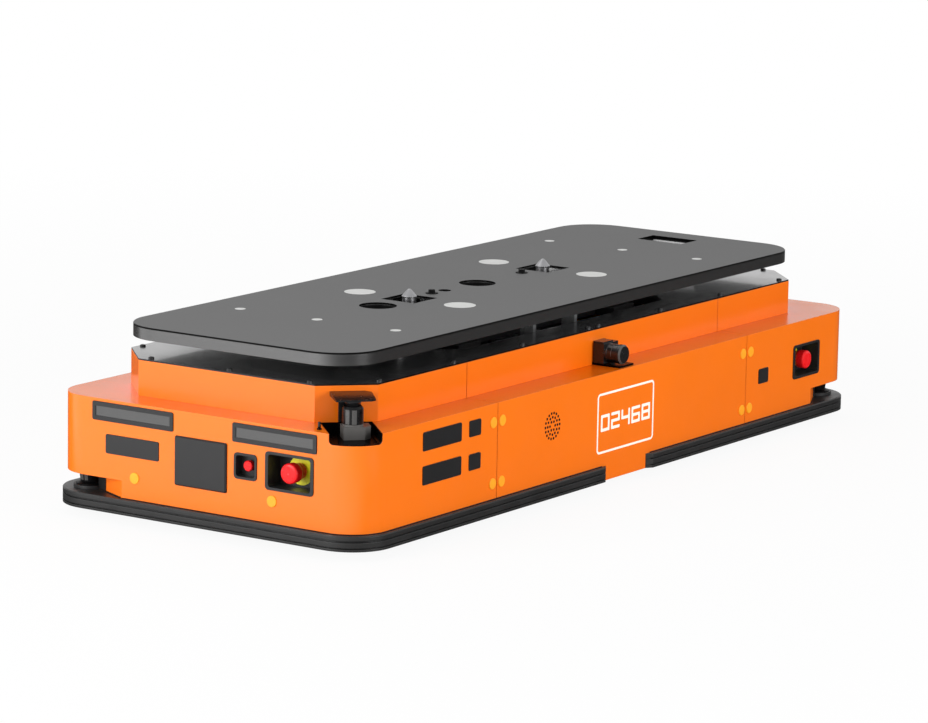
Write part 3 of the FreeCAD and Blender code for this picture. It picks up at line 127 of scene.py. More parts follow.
class Finish(Nodes):
    """One procedural material, built up from a Principled shader."""

    def __init__(self, name, colour, roughness, metallic=0.0, specular=0.5):
        self.material = bpy.data.materials.new(name)
        super().__init__(self.material, "ShaderNodeOutputMaterial")
        self.shader = self.add("ShaderNodeBsdfPrincipled", Base_Color=(*colour, 1), Roughness=roughness,
                               Metallic=metallic, Specular_IOR_Level=specular)
        self.link(self.shader.outputs[0], self.end)
        self.colour = self.add("ShaderNodeRGB").outputs[0]
        self.colour.default_value = (*colour, 1)
        self.roughness = roughness
        self.normal = None

    def noise(self, per_metre, detail=2.0, stretch=None):
        """Soft noise, stretched along the axes if asked."""
        node = self.add("ShaderNodeTexNoise", Scale=per_metre, Detail=detail)
        where = self.where()
        if stretch:
            mapping = self.add("ShaderNodeMapping", Scale=stretch)
            self.link(where, mapping.inputs["Vector"])
            where = mapping.outputs[0]
        self.link(where, node.inputs["Vector"])
        return node.outputs["Fac"]

    def tint(self, factor, colour):
        """Mixes another colour in by a factor."""
        node = self.add("ShaderNodeMix", data_type="RGBA")
        self.link(factor, node.inputs["Factor"])
        self.link(self.colour, node.inputs["A"])
        node.inputs["B"].default_value = (*colour, 1)
        self.colour = node.outputs["Result"]
        return self

    def mottled(self, amount=0.04, per_metre=7.0):
        """Slight unevenness of the colour."""
        node = self.add("ShaderNodeHueSaturation")
        self.link(self.colour, node.inputs["Color"])
        self.link(self.spread(self.noise(per_metre, 3.0), 1 - amount, 1 + amount), node.inputs["Value"])
        self.colour = node.outputs["Color"]
        return self

    def vary(self, socket, factor, low, high, start=0.0, end=1.0):
        """Lets one of the shader's values run from low to high with a factor."""
        self.link(self.spread(factor, low, high, start, end), self.shader.inputs[socket])
        return self

    def worn(self, amount=0.06, per_metre=25.0):
        """Gloss that changes a little over the surface."""
        return self.vary("Roughness", self.noise(per_metre, 4.0), self.roughness - amount,
                         self.roughness + amount, start=0.3, end=0.7)

    def rounded(self, radius):
        """Softens sharp edges in the shading."""
        self.normal = self.add("ShaderNodeBevel", samples=4, Radius=radius).outputs[0]
        return self

    def edge_highlight(self, colour, amount=0.6):
        """Painted highlight: another colour along the edges, in patches."""
        plain = self.add("ShaderNodeNewGeometry").outputs["Normal"]
        dot = self.add("ShaderNodeVectorMath", operation="DOT_PRODUCT")
        self.link(plain, dot.inputs[0])
        self.link(self.normal, dot.inputs[1])
        edge = self.spread(dot.outputs["Value"], amount, 0.0, start=0.80, end=0.99)
        patchy = self.maths("MULTIPLY", edge, self.spread(self.noise(60.0, 3.0), 0.2, 1.0), clamp=True)
        return self.tint(patchy, colour)

    def upward(self, down=False):
        """1 where the surface faces up, or with down where it faces down, else 0."""
        parts = self.add("ShaderNodeSeparateXYZ")
        self.link(self.add("ShaderNodeNewGeometry").outputs["Normal"], parts.inputs[0])
        steepness = self.maths("MULTIPLY", parts.outputs["Z"], -1.0 if down else 1.0)
        return self.spread(steepness, 0.0, 1.0, start=0.9, end=0.99)

    def between(self, value, low, high):
        """1 where low < value < high, else 0."""
        over = self.maths("GREATER_THAN", value, low)
        return self.maths("MULTIPLY", over, self.maths("LESS_THAN", value, high))

    def grain(self, per_metre, depth, detail=2.0, stretch=None):
        """Fine relief, depth in metres."""
        node = self.add("ShaderNodeBump", Distance=depth)
        self.link(self.noise(per_metre, detail, stretch), node.inputs["Height"])
        if self.normal is not None:
            self.link(self.normal, node.inputs["Normal"])
        self.normal = node.outputs[0]
        return self

    def coat(self, weight, roughness):
        """Clear coat over the colour."""
        self.shader.inputs["Coat Weight"].default_value = weight
        self.shader.inputs["Coat Roughness"].default_value = roughness
        return self

    def done(self):
        """The material, with its colour and relief joined up."""
        self.link(self.colour, self.shader.inputs["Base Color"])
        if self.normal is not None:
            self.link(self.normal, self.shader.inputs["Normal"])
        return self.material


def dress(material, *names):
    """Gives CAD nodes their material."""
    for name in names:
        node = NODES[name]
        node.data.materials.clear()
        node.data.materials.append(material)


def matching(start):
    """Names of the CAD nodes that begin alike."""
    return sorted(name for name in NODES if name.startswith(start))


# ---------------------------------------------------------------- mesh helpers

def piece(name, maker, details, material, body, smooth=True):
    """A new piece from a function that fills a bmesh after the details; it rides on a body."""
    bm = bmesh.new()
    maker(bm, *details)
    bmesh.ops.remove_doubles(bm, verts=bm.verts, dist=1e-6)
    bmesh.ops.recalc_face_normals(bm, faces=bm.faces)
    mesh = bpy.data.meshes.new(name)
    bm.to_mesh(mesh)
    bm.free()
    mesh.materials.append(material)
    if smooth:
        mesh.shade_smooth()
        mesh.set_sharp_from_angle(angle=SHARP)
    obj = bpy.data.objects.new(name, mesh)
    bpy.context.scene.collection.objects.link(obj)
    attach(obj, body)


def raise_faces(bm, faces, depth):
    """Extrudes flat faces along z and gives the new corners."""
    lifted = bmesh.ops.extrude_face_region(bm, geom=faces)["geom"]
    top = [v for v in lifted if isinstance(v, bmesh.types.BMVert)]
    bmesh.ops.translate(bm, verts=top, vec=(0, 0, depth))
    return top


def extrude_outline(bm, outlines, place, depth):
    """Fills flat outlines (outer first, then holes), extrudes them along z and places them."""
    edges = []
    made = []
    for outline in outlines:
        corners = [bm.verts.new((x, y, 0)) for x, y in outline]
        made += corners
        edges += [bm.edges.new((a, b)) for a, b in zip(corners, corners[1:] + corners[:1])]
    faces = bmesh.ops.triangle_fill(bm, edges=edges, use_beauty=True)["geom"]
    top = raise_faces(bm, [f for f in faces if isinstance(f, bmesh.types.BMFace)], depth)
    bmesh.ops.transform(bm, matrix=place, verts=made + top)


def rounded_rectangle(width, height, radius, steps=6):
    """Corners of the outline, anticlockwise, with steps to each quarter circle."""
    points = []
    for quarter, (sx, sy) in enumerate(((1, 1), (-1, 1), (-1, -1), (1, -1))):
        cx, cy = sx * (width / 2 - radius), sy * (height / 2 - radius)
        for i in range(steps + 1):
            t = math.radians(90 * (quarter + i / steps))
            points.append((cx + radius * math.cos(t), cy + radius * math.sin(t)))
    return points


def circle(radius, steps):
    turns = [2 * math.pi * i / steps for i in range(steps)]
    return [(radius * math.cos(t), radius * math.sin(t)) for t in turns]


def lathe(bm, profile, place, steps):
    """Turns (radius, height) points about z."""
    rings = []
    for radius, height in profile:
        if radius == 0:
            rings.append([bm.verts.new(place @ Vector((0, 0, height)))])
        else:
            rings.append([bm.verts.new(place @ Vector((x, y, height))) for x, y in circle(radius, steps)])
    for low, high in zip(rings, rings[1:]):
        for i in range(steps):
            j = (i + 1) % steps
            loop = []
            for v in (low[i % len(low)], low[j % len(low)], high[j % len(high)], high[i % len(high)]):
                if v not in loop:
                    loop.append(v)
            if len(loop) > 2:
                bm.faces.new(loop)


def close_strip(bm, loops):
    """Skins rings of corners one after the other and closes both ends."""
    for a, b in zip(loops, loops[1:]):
        for i in range(len(a)):
            j = (i + 1) % len(a)
            bm.faces.new((a[i], a[j], b[j], b[i]))
    bm.faces.new(loops[0])
    bm.faces.new(loops[-1])


def solid_box(name, keep):
    """Corners of the box round those vertices of a node for which keep is true."""
    node = NODES[name]
    spots = [node.matrix_world @ v.co for v in node.data.vertices]
    spots = [v for v in spots if keep(v)]
    return (Vector([min(v[i] for v in spots) for i in range(3)]),
            Vector([max(v[i] for v in spots) for i in range(3)]))


def curved_strip(bm, place, foot, head, start, stop, proud, steps=12):
    """Strip bent round the z axis of place; foot and head are (radius, height) of the wall it lies on."""
    loops = []
    for i in range(steps + 1):
        t = math.radians(start + (stop - start) * i / steps)
        loops.append([bm.verts.new(place @ Vector((r * math.cos(t), r * math.sin(t), z)))
                      for r, z in ((foot[0] - STRIP_SUNK, foot[1]), (foot[0] + proud, foot[1]),
                                   (head[0] + proud, head[1]), (head[0] - STRIP_SUNK, head[1]))])
    close_strip(bm, loops)


def sign_turn(point, sign):
    """The point, or its half-turn twin."""
    return point if sign > 0 else Vector((-point.x, -point.y, point.z))


def safety_axis(sign):
    """Upright axis of the safety scanner at the front (1) or the rear (-1)."""
    low, high = solid_box("safety_lidars", lambda v: v.x * sign > 0)
    return (low + high) / 2


def safety_place(sign):
    """Matrix with its z axis up through a safety scanner, and x ahead at the front, back at the rear."""
    axis = safety_axis(sign)
    turn = Matrix.Rotation(0.0 if sign > 0 else math.pi, 4, "Z")
    return Matrix.Translation((axis.x, axis.y, 0)) @ turn


def side_place(sign, along, height):
    """Matrix that puts a flat drawing on the left (1) or right (-1) panel, read from outside."""
    low, high = LOWER_BOX
    reach = high.y if sign > 0 else -low.y
    upright = Matrix(((0, 0, 1), (1, 0, 0), (0, 1, 0))).to_4x4()
    turn = Matrix.Rotation(math.radians(90 * sign), 4, "Z")
    return turn @ Matrix.Translation((reach, along, height)) @ upright


# ---------------------------------------------------------------- properties

def colour_field(name, description, default):
    return FloatVectorProperty(name=name, description=description, default=default, size=3,
                               min=0.0, max=1.0, subtype="COLOR")


def length_field(name, description, millimetres):
    return FloatProperty(name=name, description=description, default=millimetres * MM, unit="LENGTH")


def share_field(name, description, default, most=1.0):
    return FloatProperty(name=name, description=description, default=default, min=0.0, max=most)


def power_field(name, description, watts):
    return FloatProperty(name=name, description=description, default=watts, unit="POWER")


def angle_field(name, description, degrees):
    return FloatProperty(name=name, description=description, default=math.radians(degrees),
                         subtype="ANGLE")


class PaintSettings(PropertyGroup):
    """Colours of the robot"""
    orange: colour_field("Cover orange", "Powder coat of the covers", tone(246, 118, 16))
    plate_top: colour_field("Plate grey", "Grey grip coat on the lift plate", tone(58, 58, 58))
    black: colour_field("Black", "Black paint of the deck and the brackets", tone(20, 20, 21))
    rubber: colour_field("Rubber", "Bumper rubber", tone(30, 30, 30))
    panel: colour_field("Panel grey", "Dark plastic of windows and frames", tone(34, 34, 35))
    lens: colour_field("Lens grey", "Diffuser of the light bars", tone(57, 57, 57))
    cap: colour_field("Cap yellow", "Plastic screw caps", tone(252, 166, 4))
    red: colour_field("Button red", "Emergency stop heads", tone(234, 20, 24))
    collar: colour_field("Collar yellow", "Ring round each emergency stop", tone(240, 236, 26))
    marking: colour_field("Marking white", "Number on the side panels", tone(255, 250, 238))


class NumberSettings(PropertyGroup):
    """Number on the side panels"""
    digits: StringProperty(name="Digits", description="Plain number shown on both sides", default="02468")
    centre: length_field("Centre", "Middle of the number ahead of the middle of the panel", 5)
    height: length_field("Height", "Middle of the frame above the floor", 142.5)
    frame_width: length_field("Frame width", "Width of the frame", 220)
    frame_height: length_field("Frame height", "Height of the frame", 127)
    frame_radius: length_field("Frame radius", "Radius of the frame's corners", 10)
    line: length_field("Line", "Width of the frame's line", 4.6)
    digit_width: length_field("Digit width", "Width of one digit", 33)
    digit_height: length_field("Digit height", "Height of a digit", 35)
    pitch: length_field("Pitch", "From one digit to the next", 39.5)
    stroke: length_field("Stroke", "Width of a digit's strokes", 6.2)
    thickness: length_field("Thickness", "Thickness of the film", 0.25)


class LidarSettings(PropertyGroup):
    """Windows of the lidars and trim of the safety pockets"""
    case: colour_field("Case grey", "Case of the corner lidars", tone(82, 80, 78))
    band: colour_field("Band grey", "Pale bands of the lidar windows", tone(80, 79, 78))
    radius: length_field("Window radius", "Radius of the round window", 19.5)
    cap_radius: length_field("Cap radius", "Radius of the dark cap", 20.8)
    foot: length_field("Window foot", "Foot of the window above the base", 29)
    top: length_field("Window top", "Top of the window above the base", 58)
    height: length_field("Height", "Height of the whole unit", 63.2)
    proud: length_field("Band relief", "How far a band stands out of the window", 0.25)
    trim_from: length_field("Trim start", "Trim's near end from the scanner's axis", 34)
    trim_to: length_field("Trim end", "Trim's far end from the scanner's axis", 66)
    trim_end: length_field("Foot strip end", "Far end of the strip along the wall's foot", 132)
    trim_low: length_field("Trim foot", "Foot of the trim above the floor", 51.4)
    trim_high: length_field("Trim top", "Top of the trim above the floor", 86.6)


class StageSettings(PropertyGroup):
    """Floor, lamps and camera"""
    ambient: share_field("Surrounding light", "Strength of the even light", 0.5, 3.0)
    key: power_field("Front lamp", "Power of the lamp before the front end", 128.0)
    side: power_field("Side lamp", "Power of the lamp to the left", 125.0)
    top: power_field("Top lamp", "Power of the lamp overhead", 28.0)
    sheen_front: share_field("Front sheen", "Gloss of the floor before the robot", 1.95, 5.0)
    sheen_round: share_field("Side sheen", "Gloss of the rest of the floor", 0.08, 5.0)
    floor_white: share_field("Floor white", "Share of plain white in the floor as seen", 0.93)
    camera_at: FloatVectorProperty(name="Camera place", description="Where the camera stands", size=3,
                                   default=(7.66391, 5.13508, 1.93516), subtype="TRANSLATION")
    azimuth: angle_field("Azimuth", "Direction of view", 123.98)
    elevation: angle_field("Elevation", "Height of view", 10.575)
    roll: angle_field("Roll", "Tilt of the camera", 1.034)
    lens: FloatProperty(name="Lens", description="Focal length", default=171.57, min=1.0, unit="CAMERA")


# ---------------------------------------------------------------- operators

class ROBOT_OT_covers(Operator):
    """Powder-coated covers, upper and lower"""
    bl_idname = "robot.covers"
    bl_label = "Covers"

    def execute(self, context):
        paint = context.scene.robot_paint
        coat = Finish("orange_powder_coat", paint.orange, 0.22, specular=0.4)
        # painted shade: faces that look up get a darker orange
        coat.tint(coat.maths("MULTIPLY", coat.upward(), 0.7), tone(224, 108, 0))
        coat.mottled(0.02, 5.0).worn(0.04, 18.0).rounded(1.3 * MM)
        # the lighter edges are a painted highlight
        coat.edge_highlight(tone(255, 160, 80), 0.35).grain(1400.0, 0.00003)
        dress(coat.done(), *LOWER_COVERS, "upper_cover_front", "upper_cover_rear", "upper_sides")
        return {"FINISHED"}


GROOVES = ((4.6 * MM, 7.4 * MM), (17.6 * MM, 21.4 * MM))  # heights above the bumper's foot; these grooves are painted dark as shade
SHADOW_NEAR, SHADOW_FAR = 0.2 * MM, 2.2 * MM  # the two edges of the painted gap shadow, outwards from the body
SHADOW_HEIGHT = 1.8 * MM
SHADOW_STEP = 4 * MM
BODY_RADIUS = 80 * MM  # corners of the lower body
TAB_CLEAR = 14 * MM  # the painted gap shadow ends this far before the panel's tab
POCKET_REACH = 122 * MM  # and stays this far away from a safety scanner's axis


def gap_shadow_runs():
    """Stretches of the body's outline that rest on the front half of the bumper and get the painted gap
    shadow.
    """
    high = LOWER_BOX[1]
    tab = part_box("bumper_front")[0].x
    points = rounded_rectangle(2 * high.x, 2 * high.y, BODY_RADIUS, steps=24)
    points += points[:1]
    fine = []
    for (x0, y0), (x1, y1) in zip(points, points[1:]):
        count = max(1, math.ceil(math.hypot(x1 - x0, y1 - y0) / SHADOW_STEP))
        fine += [(x0 + (x1 - x0) * i / count, y0 + (y1 - y0) * i / count) for i in range(count)]
    pocket = safety_axis(1)
    start = next(i for i, (x, y) in enumerate(fine) if x < tab)
    runs = [[]]
    for x, y in fine[start:] + fine[:start]:
        beside_tab = x < tab + TAB_CLEAR
        in_pocket = x > pocket.x - POCKET_REACH and y < pocket.y + POCKET_REACH
        if not (beside_tab or in_pocket):
            runs[-1].append((x, y))
        elif runs[-1]:
            runs.append([])
    return [run for run in runs if len(run) > 1]


def bumper_gap_shadow(bm, sign):
    """Painted shadow: thin black strip in the corner between the bumper's top and the body."""
    high = LOWER_BOX[1]
    cx, cy = high.x - BODY_RADIUS, high.y - BODY_RADIUS
    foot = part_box("bumper_front")[1].z
    section = ((SHADOW_NEAR, foot), (SHADOW_FAR, foot), (SHADOW_FAR, foot + SHADOW_HEIGHT / 2),
               (SHADOW_NEAR, foot + SHADOW_HEIGHT))
    for run in gap_shadow_runs():
        loops = []
        for x, y in run:
            nx = math.copysign(max(abs(x) - cx, 0.0), x)
            ny = math.copysign(max(abs(y) - cy, 0.0), y)
            out = Vector((nx, ny, 0)).normalized()
            loops.append([bm.verts.new(sign_turn(Vector((x, y, z)) + out * d, sign)) for d, z in section])
        close_strip(bm, loops)


class ROBOT_OT_bumper(Operator):
    """Grooved rubber bumper"""
    bl_idname = "robot.bumper"
    bl_label = "Bumper"

    def execute(self, context):
        rubber = Finish("bumper_rubber", context.scene.robot_paint.rubber, 0.42, specular=0.45)
        # the lighter edges are a painted highlight
        rubber.mottled(0.10, 9.0).worn(0.08, 30.0).rounded(2.2 * MM).edge_highlight(tone(62, 62, 62), 0.4)
        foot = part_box("bumper_front")[0].z
        height = rubber.axis("Z")
        # painted shade: the grooves are tinted near black
        for low, high in GROOVES:
            rubber.tint(rubber.between(height, foot + low, foot + high), tone(9, 9, 9))
        rubber.grain(900.0, 0.00006)
        dress(rubber.done(), "bumper_front", "bumper_rear")
        # painted shadow of the gap between the bumper and the body
        gap_shadow = Finish("seal_rubber", tone(10, 10, 10), 0.6, specular=0.25)
        gap_shadow.mottled(0.1, 30.0).grain(900.0, 0.00004)
        material = gap_shadow.done()
        for name, sign in ENDS:
            piece("bumper_seal_" + name, bumper_gap_shadow, (sign,), material, "chassis")
        return {"FINISHED"}


BRACKET_FOOT = 252 * MM  # the brackets are dull black up to this height


class ROBOT_OT_deck(Operator):
    """Glossy black deck and its screws"""
    bl_idname = "robot.deck"
    bl_label = "Deck"

    def execute(self, context):
        paint = context.scene.robot_paint
        sheet = Finish("black_gloss_deck", tone(60, 60, 61), 0.24, specular=1.0)
        # painted shade: faces that do not look up are tinted near black, with little gloss
        rim = sheet.maths("SUBTRACT", 1.0, sheet.upward())
        sheet.tint(rim, tone(8, 8, 8)).vary("Specular IOR Level", rim, 1.0, 0.1)
        sheet.mottled(0.08, 6.0).worn(0.03, 14.0).coat(0.5, 0.08).grain(1400.0, 0.00001)
        dress(sheet.done(), "deck_cover")
        bracket = Finish("black_bracket_paint", paint.black, 0.24, specular=0.45)
        foot = bracket.between(bracket.axis("Z"), 0.0, BRACKET_FOOT)
        bracket.tint(foot, tone(6, 6, 6)).vary("Specular IOR Level", foot, 0.45, 0.02)
        bracket.mottled(0.08, 20.0).worn(0.05, 60.0).rounded(0.5 * MM)
        # the lighter edges are a painted highlight
        bracket.edge_highlight(tone(80, 80, 82), 0.5).grain(1800.0, 0.00002)
        dress(bracket.done(), "deck_screws", "lidar_mounts")
        return {"FINISHED"}


RIM_DEPTH = 3.4 * MM  # the plate's sides are painted black this far down, as shade along the top edge
SLOT_FROM, SLOT_TO = 60 * MM, 140 * MM  # walls round the rear slot, painted black as shade, from the plate's rear end
SLOT_HALF = 62 * MM
LIGHT_STRIP_AT, LIGHT_STRIP_HALF = 67.9 * MM, 57 * MM  # painted light strip: from the rear end, half its length
LIGHT_STRIP_SECTION = ((-1.1, -9.2), (-0.6, -9.2), (10.6, -20.4), (10.1, -20.9), (-1.1, -10.2))  # mm ahead, up
HOOD_AT = (("middle", 0.0), ("front", 364 * MM))  # camera holes, along the middle of the plate
HOOD_INNER, HOOD_OUTER = 39.6 * MM, 41.6 * MM  # radii
HOOD_FOOT, HOOD_HEAD = 0.5 * MM, 6.05 * MM  # above the plate's foot and below its top


def slot_light_strip(bm):
    """Painted light: pale strip that slopes from the back wall of the rear slot in under it."""
    low, high = PLATE_BOX
    ends = [[bm.verts.new((low.x + LIGHT_STRIP_AT + x * MM, y, high.z + z * MM)) for x, z in LIGHT_STRIP_SECTION]
            for y in (-LIGHT_STRIP_HALF, LIGHT_STRIP_HALF)]
    close_strip(bm, ends)


def camera_hood(bm, x):
    """Short tube under a camera hole, up to the sheet."""
    low, high = PLATE_BOX
    foot, head = low.z + HOOD_FOOT, high.z - HOOD_HEAD
    lathe(bm, [(HOOD_INNER, foot), (HOOD_OUTER, foot), (HOOD_OUTER, head), (HOOD_INNER, head),
               (HOOD_INNER, foot)], Matrix.Translation((x, 0, 0)), steps=40)


class ROBOT_OT_plate(Operator):
    """Lift plate with its grip coat, pads and docking pins"""
    bl_idname = "robot.plate"
    bl_label = "Lift plate"

    def execute(self, context):
        paint = context.scene.robot_paint
        plate = Finish("plate_grip_coat", tone(40, 40, 40), 0.3, specular=1.0)
        top = plate.upward()
        sides = plate.maths("SUBTRACT", 1.0, top)
        low, high = PLATE_BOX
        # painted shade: the top of the sides, the walls of the rear slot and the underside go near black
        rim = plate.between(plate.axis("Z"), high.z - RIM_DEPTH, high.z + RIM_DEPTH)
        slot = plate.maths("MULTIPLY", plate.between(plate.axis("X"), low.x + SLOT_FROM, low.x + SLOT_TO),
                           plate.maths("LESS_THAN", plate.axis("Y", outwards=True), SLOT_HALF))
        black = plate.maths("MULTIPLY", plate.maths("MAXIMUM", rim, slot), sides)
        black = plate.maths("MAXIMUM", black, plate.upward(down=True))
        plate.tint(black, tone(6, 6, 6)).vary("Specular IOR Level", black, 1.0, 0.05)
        plate.tint(top, paint.plate_top).vary("Roughness", top, 0.26, 0.68)
        plate.mottled(0.03, 4.0).rounded(0.8 * MM).grain(2200.0, 0.00004)
        dress(plate.done(), "lift_plate")
        pads = Finish("pad_plastic", tone(214, 214, 212), 0.5, specular=0.4)
        pads.mottled(0.03, 40.0).worn(0.05, 80.0).grain(2500.0, 0.00002)
        dress(pads.done(), "plate_pads")
        tube = Finish("hood_black", tone(8, 8, 8), 0.6, specular=0.1)
        tube.mottled(0.08, 40.0).worn(0.05, 80.0)
        material = tube.done()
        dress(material, "plate_bolts")
        for name, x in HOOD_AT:
            piece("camera_hood_" + name, camera_hood, (x,), material, "lift")
        # painted light: a pale strip where the slot shows brightness beyond it
        light_strip = Finish("pale_striker", tone(196, 196, 196), 0.5, specular=0.3)
        light_strip.mottled(0.05, 60.0).worn(0.05, 90.0).grain(900.0, 0.00002, 2.0, (1.0, 0.1, 1.0))
        piece("rear_slot_striker", slot_light_strip, (), light_strip.done(), "lift", smooth=False)
        pins = Finish("ground_pin_steel", tone(150, 150, 152), 0.3, metallic=1.0)
        pins.mottled(0.06, 60.0).rounded(0.5 * MM).grain(1500.0, 0.00002, 2.0, (0.1, 0.1, 2.0))
        dress(pins.done(), "dock_pins")
        return {"FINISHED"}


GRILLE_RINGS = (26.5 * MM, 18.0 * MM, 9.5 * MM)  # radii of the rings of holes
GRILLE_PITCH = 9.4 * MM  # from hole to hole along a ring
# section of the painted shade round a hole, mm from its middle and out of the panel
HOLE_SHADE_SECTION = ((1.9, -3.0), (2.3, -3.0), (2.3, 0.02), (3.1, 0.02), (3.1, 0.15), (1.9, 0.15), (1.9, -3.0))


def grille_hole_shade(bm, sign):
    """Painted shade of the loudspeaker's holes: a dark lining in each hole and a dark ring round it."""
    low, high = solid_box("speakers", lambda v: v.y * sign > 0)
    middle = (low + high) / 2
    for ring in GRILLE_RINGS:
        for x, y in circle(ring, round(2 * math.pi * ring / GRILLE_PITCH)):
            place = side_place(sign, x - middle.x * sign, middle.z + y)
            lathe(bm, [(r * MM, z * MM) for r, z in HOLE_SHADE_SECTION], place, steps=8)


class ROBOT_OT_panels(Operator):
    """Sensor windows, light bars, service hatch and charging contacts"""
    bl_idname = "robot.panels"
    bl_label = "Panels"

    def execute(self, context):
        paint = context.scene.robot_paint
        panel = Finish("dark_panel_plastic", paint.panel, 0.34, specular=0.27)
        # the lighter edges are a painted highlight
        panel.mottled(0.05, 12.0).worn(0.05, 45.0).rounded(1.0 * MM).edge_highlight(tone(60, 60, 60), 0.4)
        panel.grain(1600.0, 0.00003)
        dress(panel.done(), "sensor_windows", "service_panels", "light_frames", "switch_housings")
        lens = Finish("light_diffuser", paint.lens, 0.35, specular=0.42)
        lens.mottled(0.04, 30.0).coat(0.4, 0.15).grain(500.0, 0.00003, 1.0, (1.0, 1.0, 0.05))
        dress(lens.done(), "light_lenses")
        # painted shade that makes the grille's holes look dark
        rubber = Finish("grille_rubber", tone(20, 16, 14), 0.6, specular=0.2)
        rubber.mottled(0.08, 60.0).worn(0.05, 90.0)
        material = rubber.done()
        for name, sign in SIDES:
            piece("grille_rims_" + name, grille_hole_shade, (sign,), material, "chassis")
        contact = Finish("copper_contact", tone(201, 132, 92), 0.3, metallic=1.0)
        contact.mottled(0.08, 50.0).worn(0.08, 90.0).grain(900.0, 0.00003, 2.0, (1.0, 1.0, 0.1))
        dress(contact.done(), "charging_contacts")
        return {"FINISHED"}


class ROBOT_OT_switches(Operator):
    """Emergency stops, their collars and the reset button"""
    bl_idname = "robot.switches"
    bl_label = "Switches"

    def execute(self, context):
        paint = context.scene.robot_paint
        red = Finish("button_red", paint.red, 0.3, specular=0.27)
        red.mottled(0.03, 60.0).worn(0.05, 120.0).rounded(0.8 * MM)
        dress(red.done(), *matching("stop_button_"), "reset_button")
        collar = Finish("collar_yellow", paint.collar, 0.45)
        collar.mottled(0.05, 70.0).rounded(0.5 * MM).grain(1500.0, 0.00002)
        dress(collar.done(), "stop_collars")
        return {"FINISHED"}


class ROBOT_OT_caps(Operator):
    """Yellow caps over the cover screws"""
    bl_idname = "robot.caps"
    bl_label = "Screw caps"

    def execute(self, context):
        cap = Finish("cap_yellow", context.scene.robot_paint.cap, 0.45)
        # the lighter edges are a painted highlight
        cap.mottled(0.04, 80.0).rounded(0.6 * MM).edge_highlight(tone(255, 190, 50), 0.4)
        dress(cap.done(), "screw_caps")
        return {"FINISHED"}


class ROBOT_OT_lidars(Operator):
    """Lidars at the corners, on the sides and in the safety pockets"""
    bl_idname = "robot.lidars"
    bl_label = "Lidars"

    def execute(self, context):
        shell = Finish("lidar_shell", tone(24, 24, 25), 0.24, specular=0.45)
        shell.mottled(0.05, 50.0).worn(0.04, 90.0).rounded(0.6 * MM)
        dress(shell.done(), "side_lidars")
        shade = Finish("shaded_black", tone(9, 9, 10), 0.4, specular=0.08)
        shade.mottled(0.05, 50.0).worn(0.05, 90.0).rounded(0.6 * MM)
        dress(shade.done(), "safety_lidars", "cameras")
        case = Finish("lidar_case", context.scene.robot_lidars.case, 0.42, specular=0.4)
        case.mottled(0.05, 50.0).worn(0.05, 90.0).rounded(0.6 * MM).grain(1500.0, 0.00002)
        dress(case.done(), "corner_lidars")
        return {"FINISHED"}


# painted highlights on the lidar windows: from and to, in degrees from the way a unit faces, or for the
# scanners from straight ahead
CORNER_HIGHLIGHTS = ((-52, -28), (-14, 12))
SIDE_HIGHLIGHTS = ((-97, -74), (-62, -44))
SIDE_SHIFT = 2  # the far row of streaks is turned back by this
SIDE_RING_TURN, SIDE_RIM_TURN = (-110, 10), (-95, 95)
SAFETY_HIGHLIGHTS = ((-32, -6), (2, 20))
# heights above a side unit's base: ends of both rows of streaks, the ring between them and the rim
SIDE_ROW, SIDE_FAR_ROW = 39 * MM, (42 * MM, 50 * MM)
SIDE_RING, SIDE_RIM = (39.8 * MM, 41.2 * MM), (59 * MM, 62.5 * MM)
SIDE_RIM_SINK, SIDE_RIM_SLOPE = 0.3 * MM, 2.6 * MM  # radii: inside the cap's, and lost up the rim
SAFETY_CONE = ((22.4 * MM, 66 * MM), (24.7 * MM, 82 * MM))  # radius and height, foot and head
BAND_CLEAR = 1 * MM  # from the window's foot to a band
HOOD_LAP = 0.5 * MM  # the hood starts this far inside the window
HOOD_CHAMFER = (3.0 * MM, 4.2 * MM)  # inwards and down from the hood's top edge


def lidar_hood(bm, place, lidar):
    """Dark window and cap of a lidar, over its head."""
    wall, top = lidar.cap_radius, lidar.height
    inwards, down = HOOD_CHAMFER
    lathe(bm, [(lidar.radius - HOOD_LAP, lidar.foot), (wall, lidar.foot), (wall, top - down),
               (wall - inwards, top), (0, top)], place, steps=40)


def corner_highlights(bm, place, lidar):
    """Painted highlights: pale streaks in the window of a corner unit."""
    wall = lidar.cap_radius
    for start, stop in CORNER_HIGHLIGHTS:
        curved_strip(bm, place, (wall, lidar.foot + BAND_CLEAR), (wall, lidar.top), start, stop, lidar.proud)


def side_highlights(bm, place, lidar):
    """Pale streaks, a thin ring and the bright arc of the rim on a side unit; the streaks and the arc are
    painted highlights.
    """
    wall, rim, proud = lidar.radius, lidar.cap_radius - SIDE_RIM_SINK, lidar.proud
    foot, head = SIDE_FAR_ROW
    for start, stop in SIDE_HIGHLIGHTS:
        curved_strip(bm, place, (wall, lidar.foot + BAND_CLEAR), (wall, SIDE_ROW), start, stop, proud)
        curved_strip(bm, place, (wall, foot), (wall, head), start - SIDE_SHIFT, stop - SIDE_SHIFT, proud)
    foot, head = SIDE_RING
    curved_strip(bm, place, (wall, foot), (wall, head), *SIDE_RING_TURN, proud, steps=24)
    foot, head = SIDE_RIM
    curved_strip(bm, place, (rim, foot), (rim - SIDE_RIM_SLOPE, head), *SIDE_RIM_TURN, proud, steps=28)


def safety_highlights(bm, place, lidar):
    """Painted highlights: pale streaks in the cone of a safety scanner's window."""
    for start, stop in SAFETY_HIGHLIGHTS:
        curved_strip(bm, place, *SAFETY_CONE, start, stop, lidar.proud)


FACE_DEPTH = 0.1 * MM  # vertices this near to a unit's end face belong to it


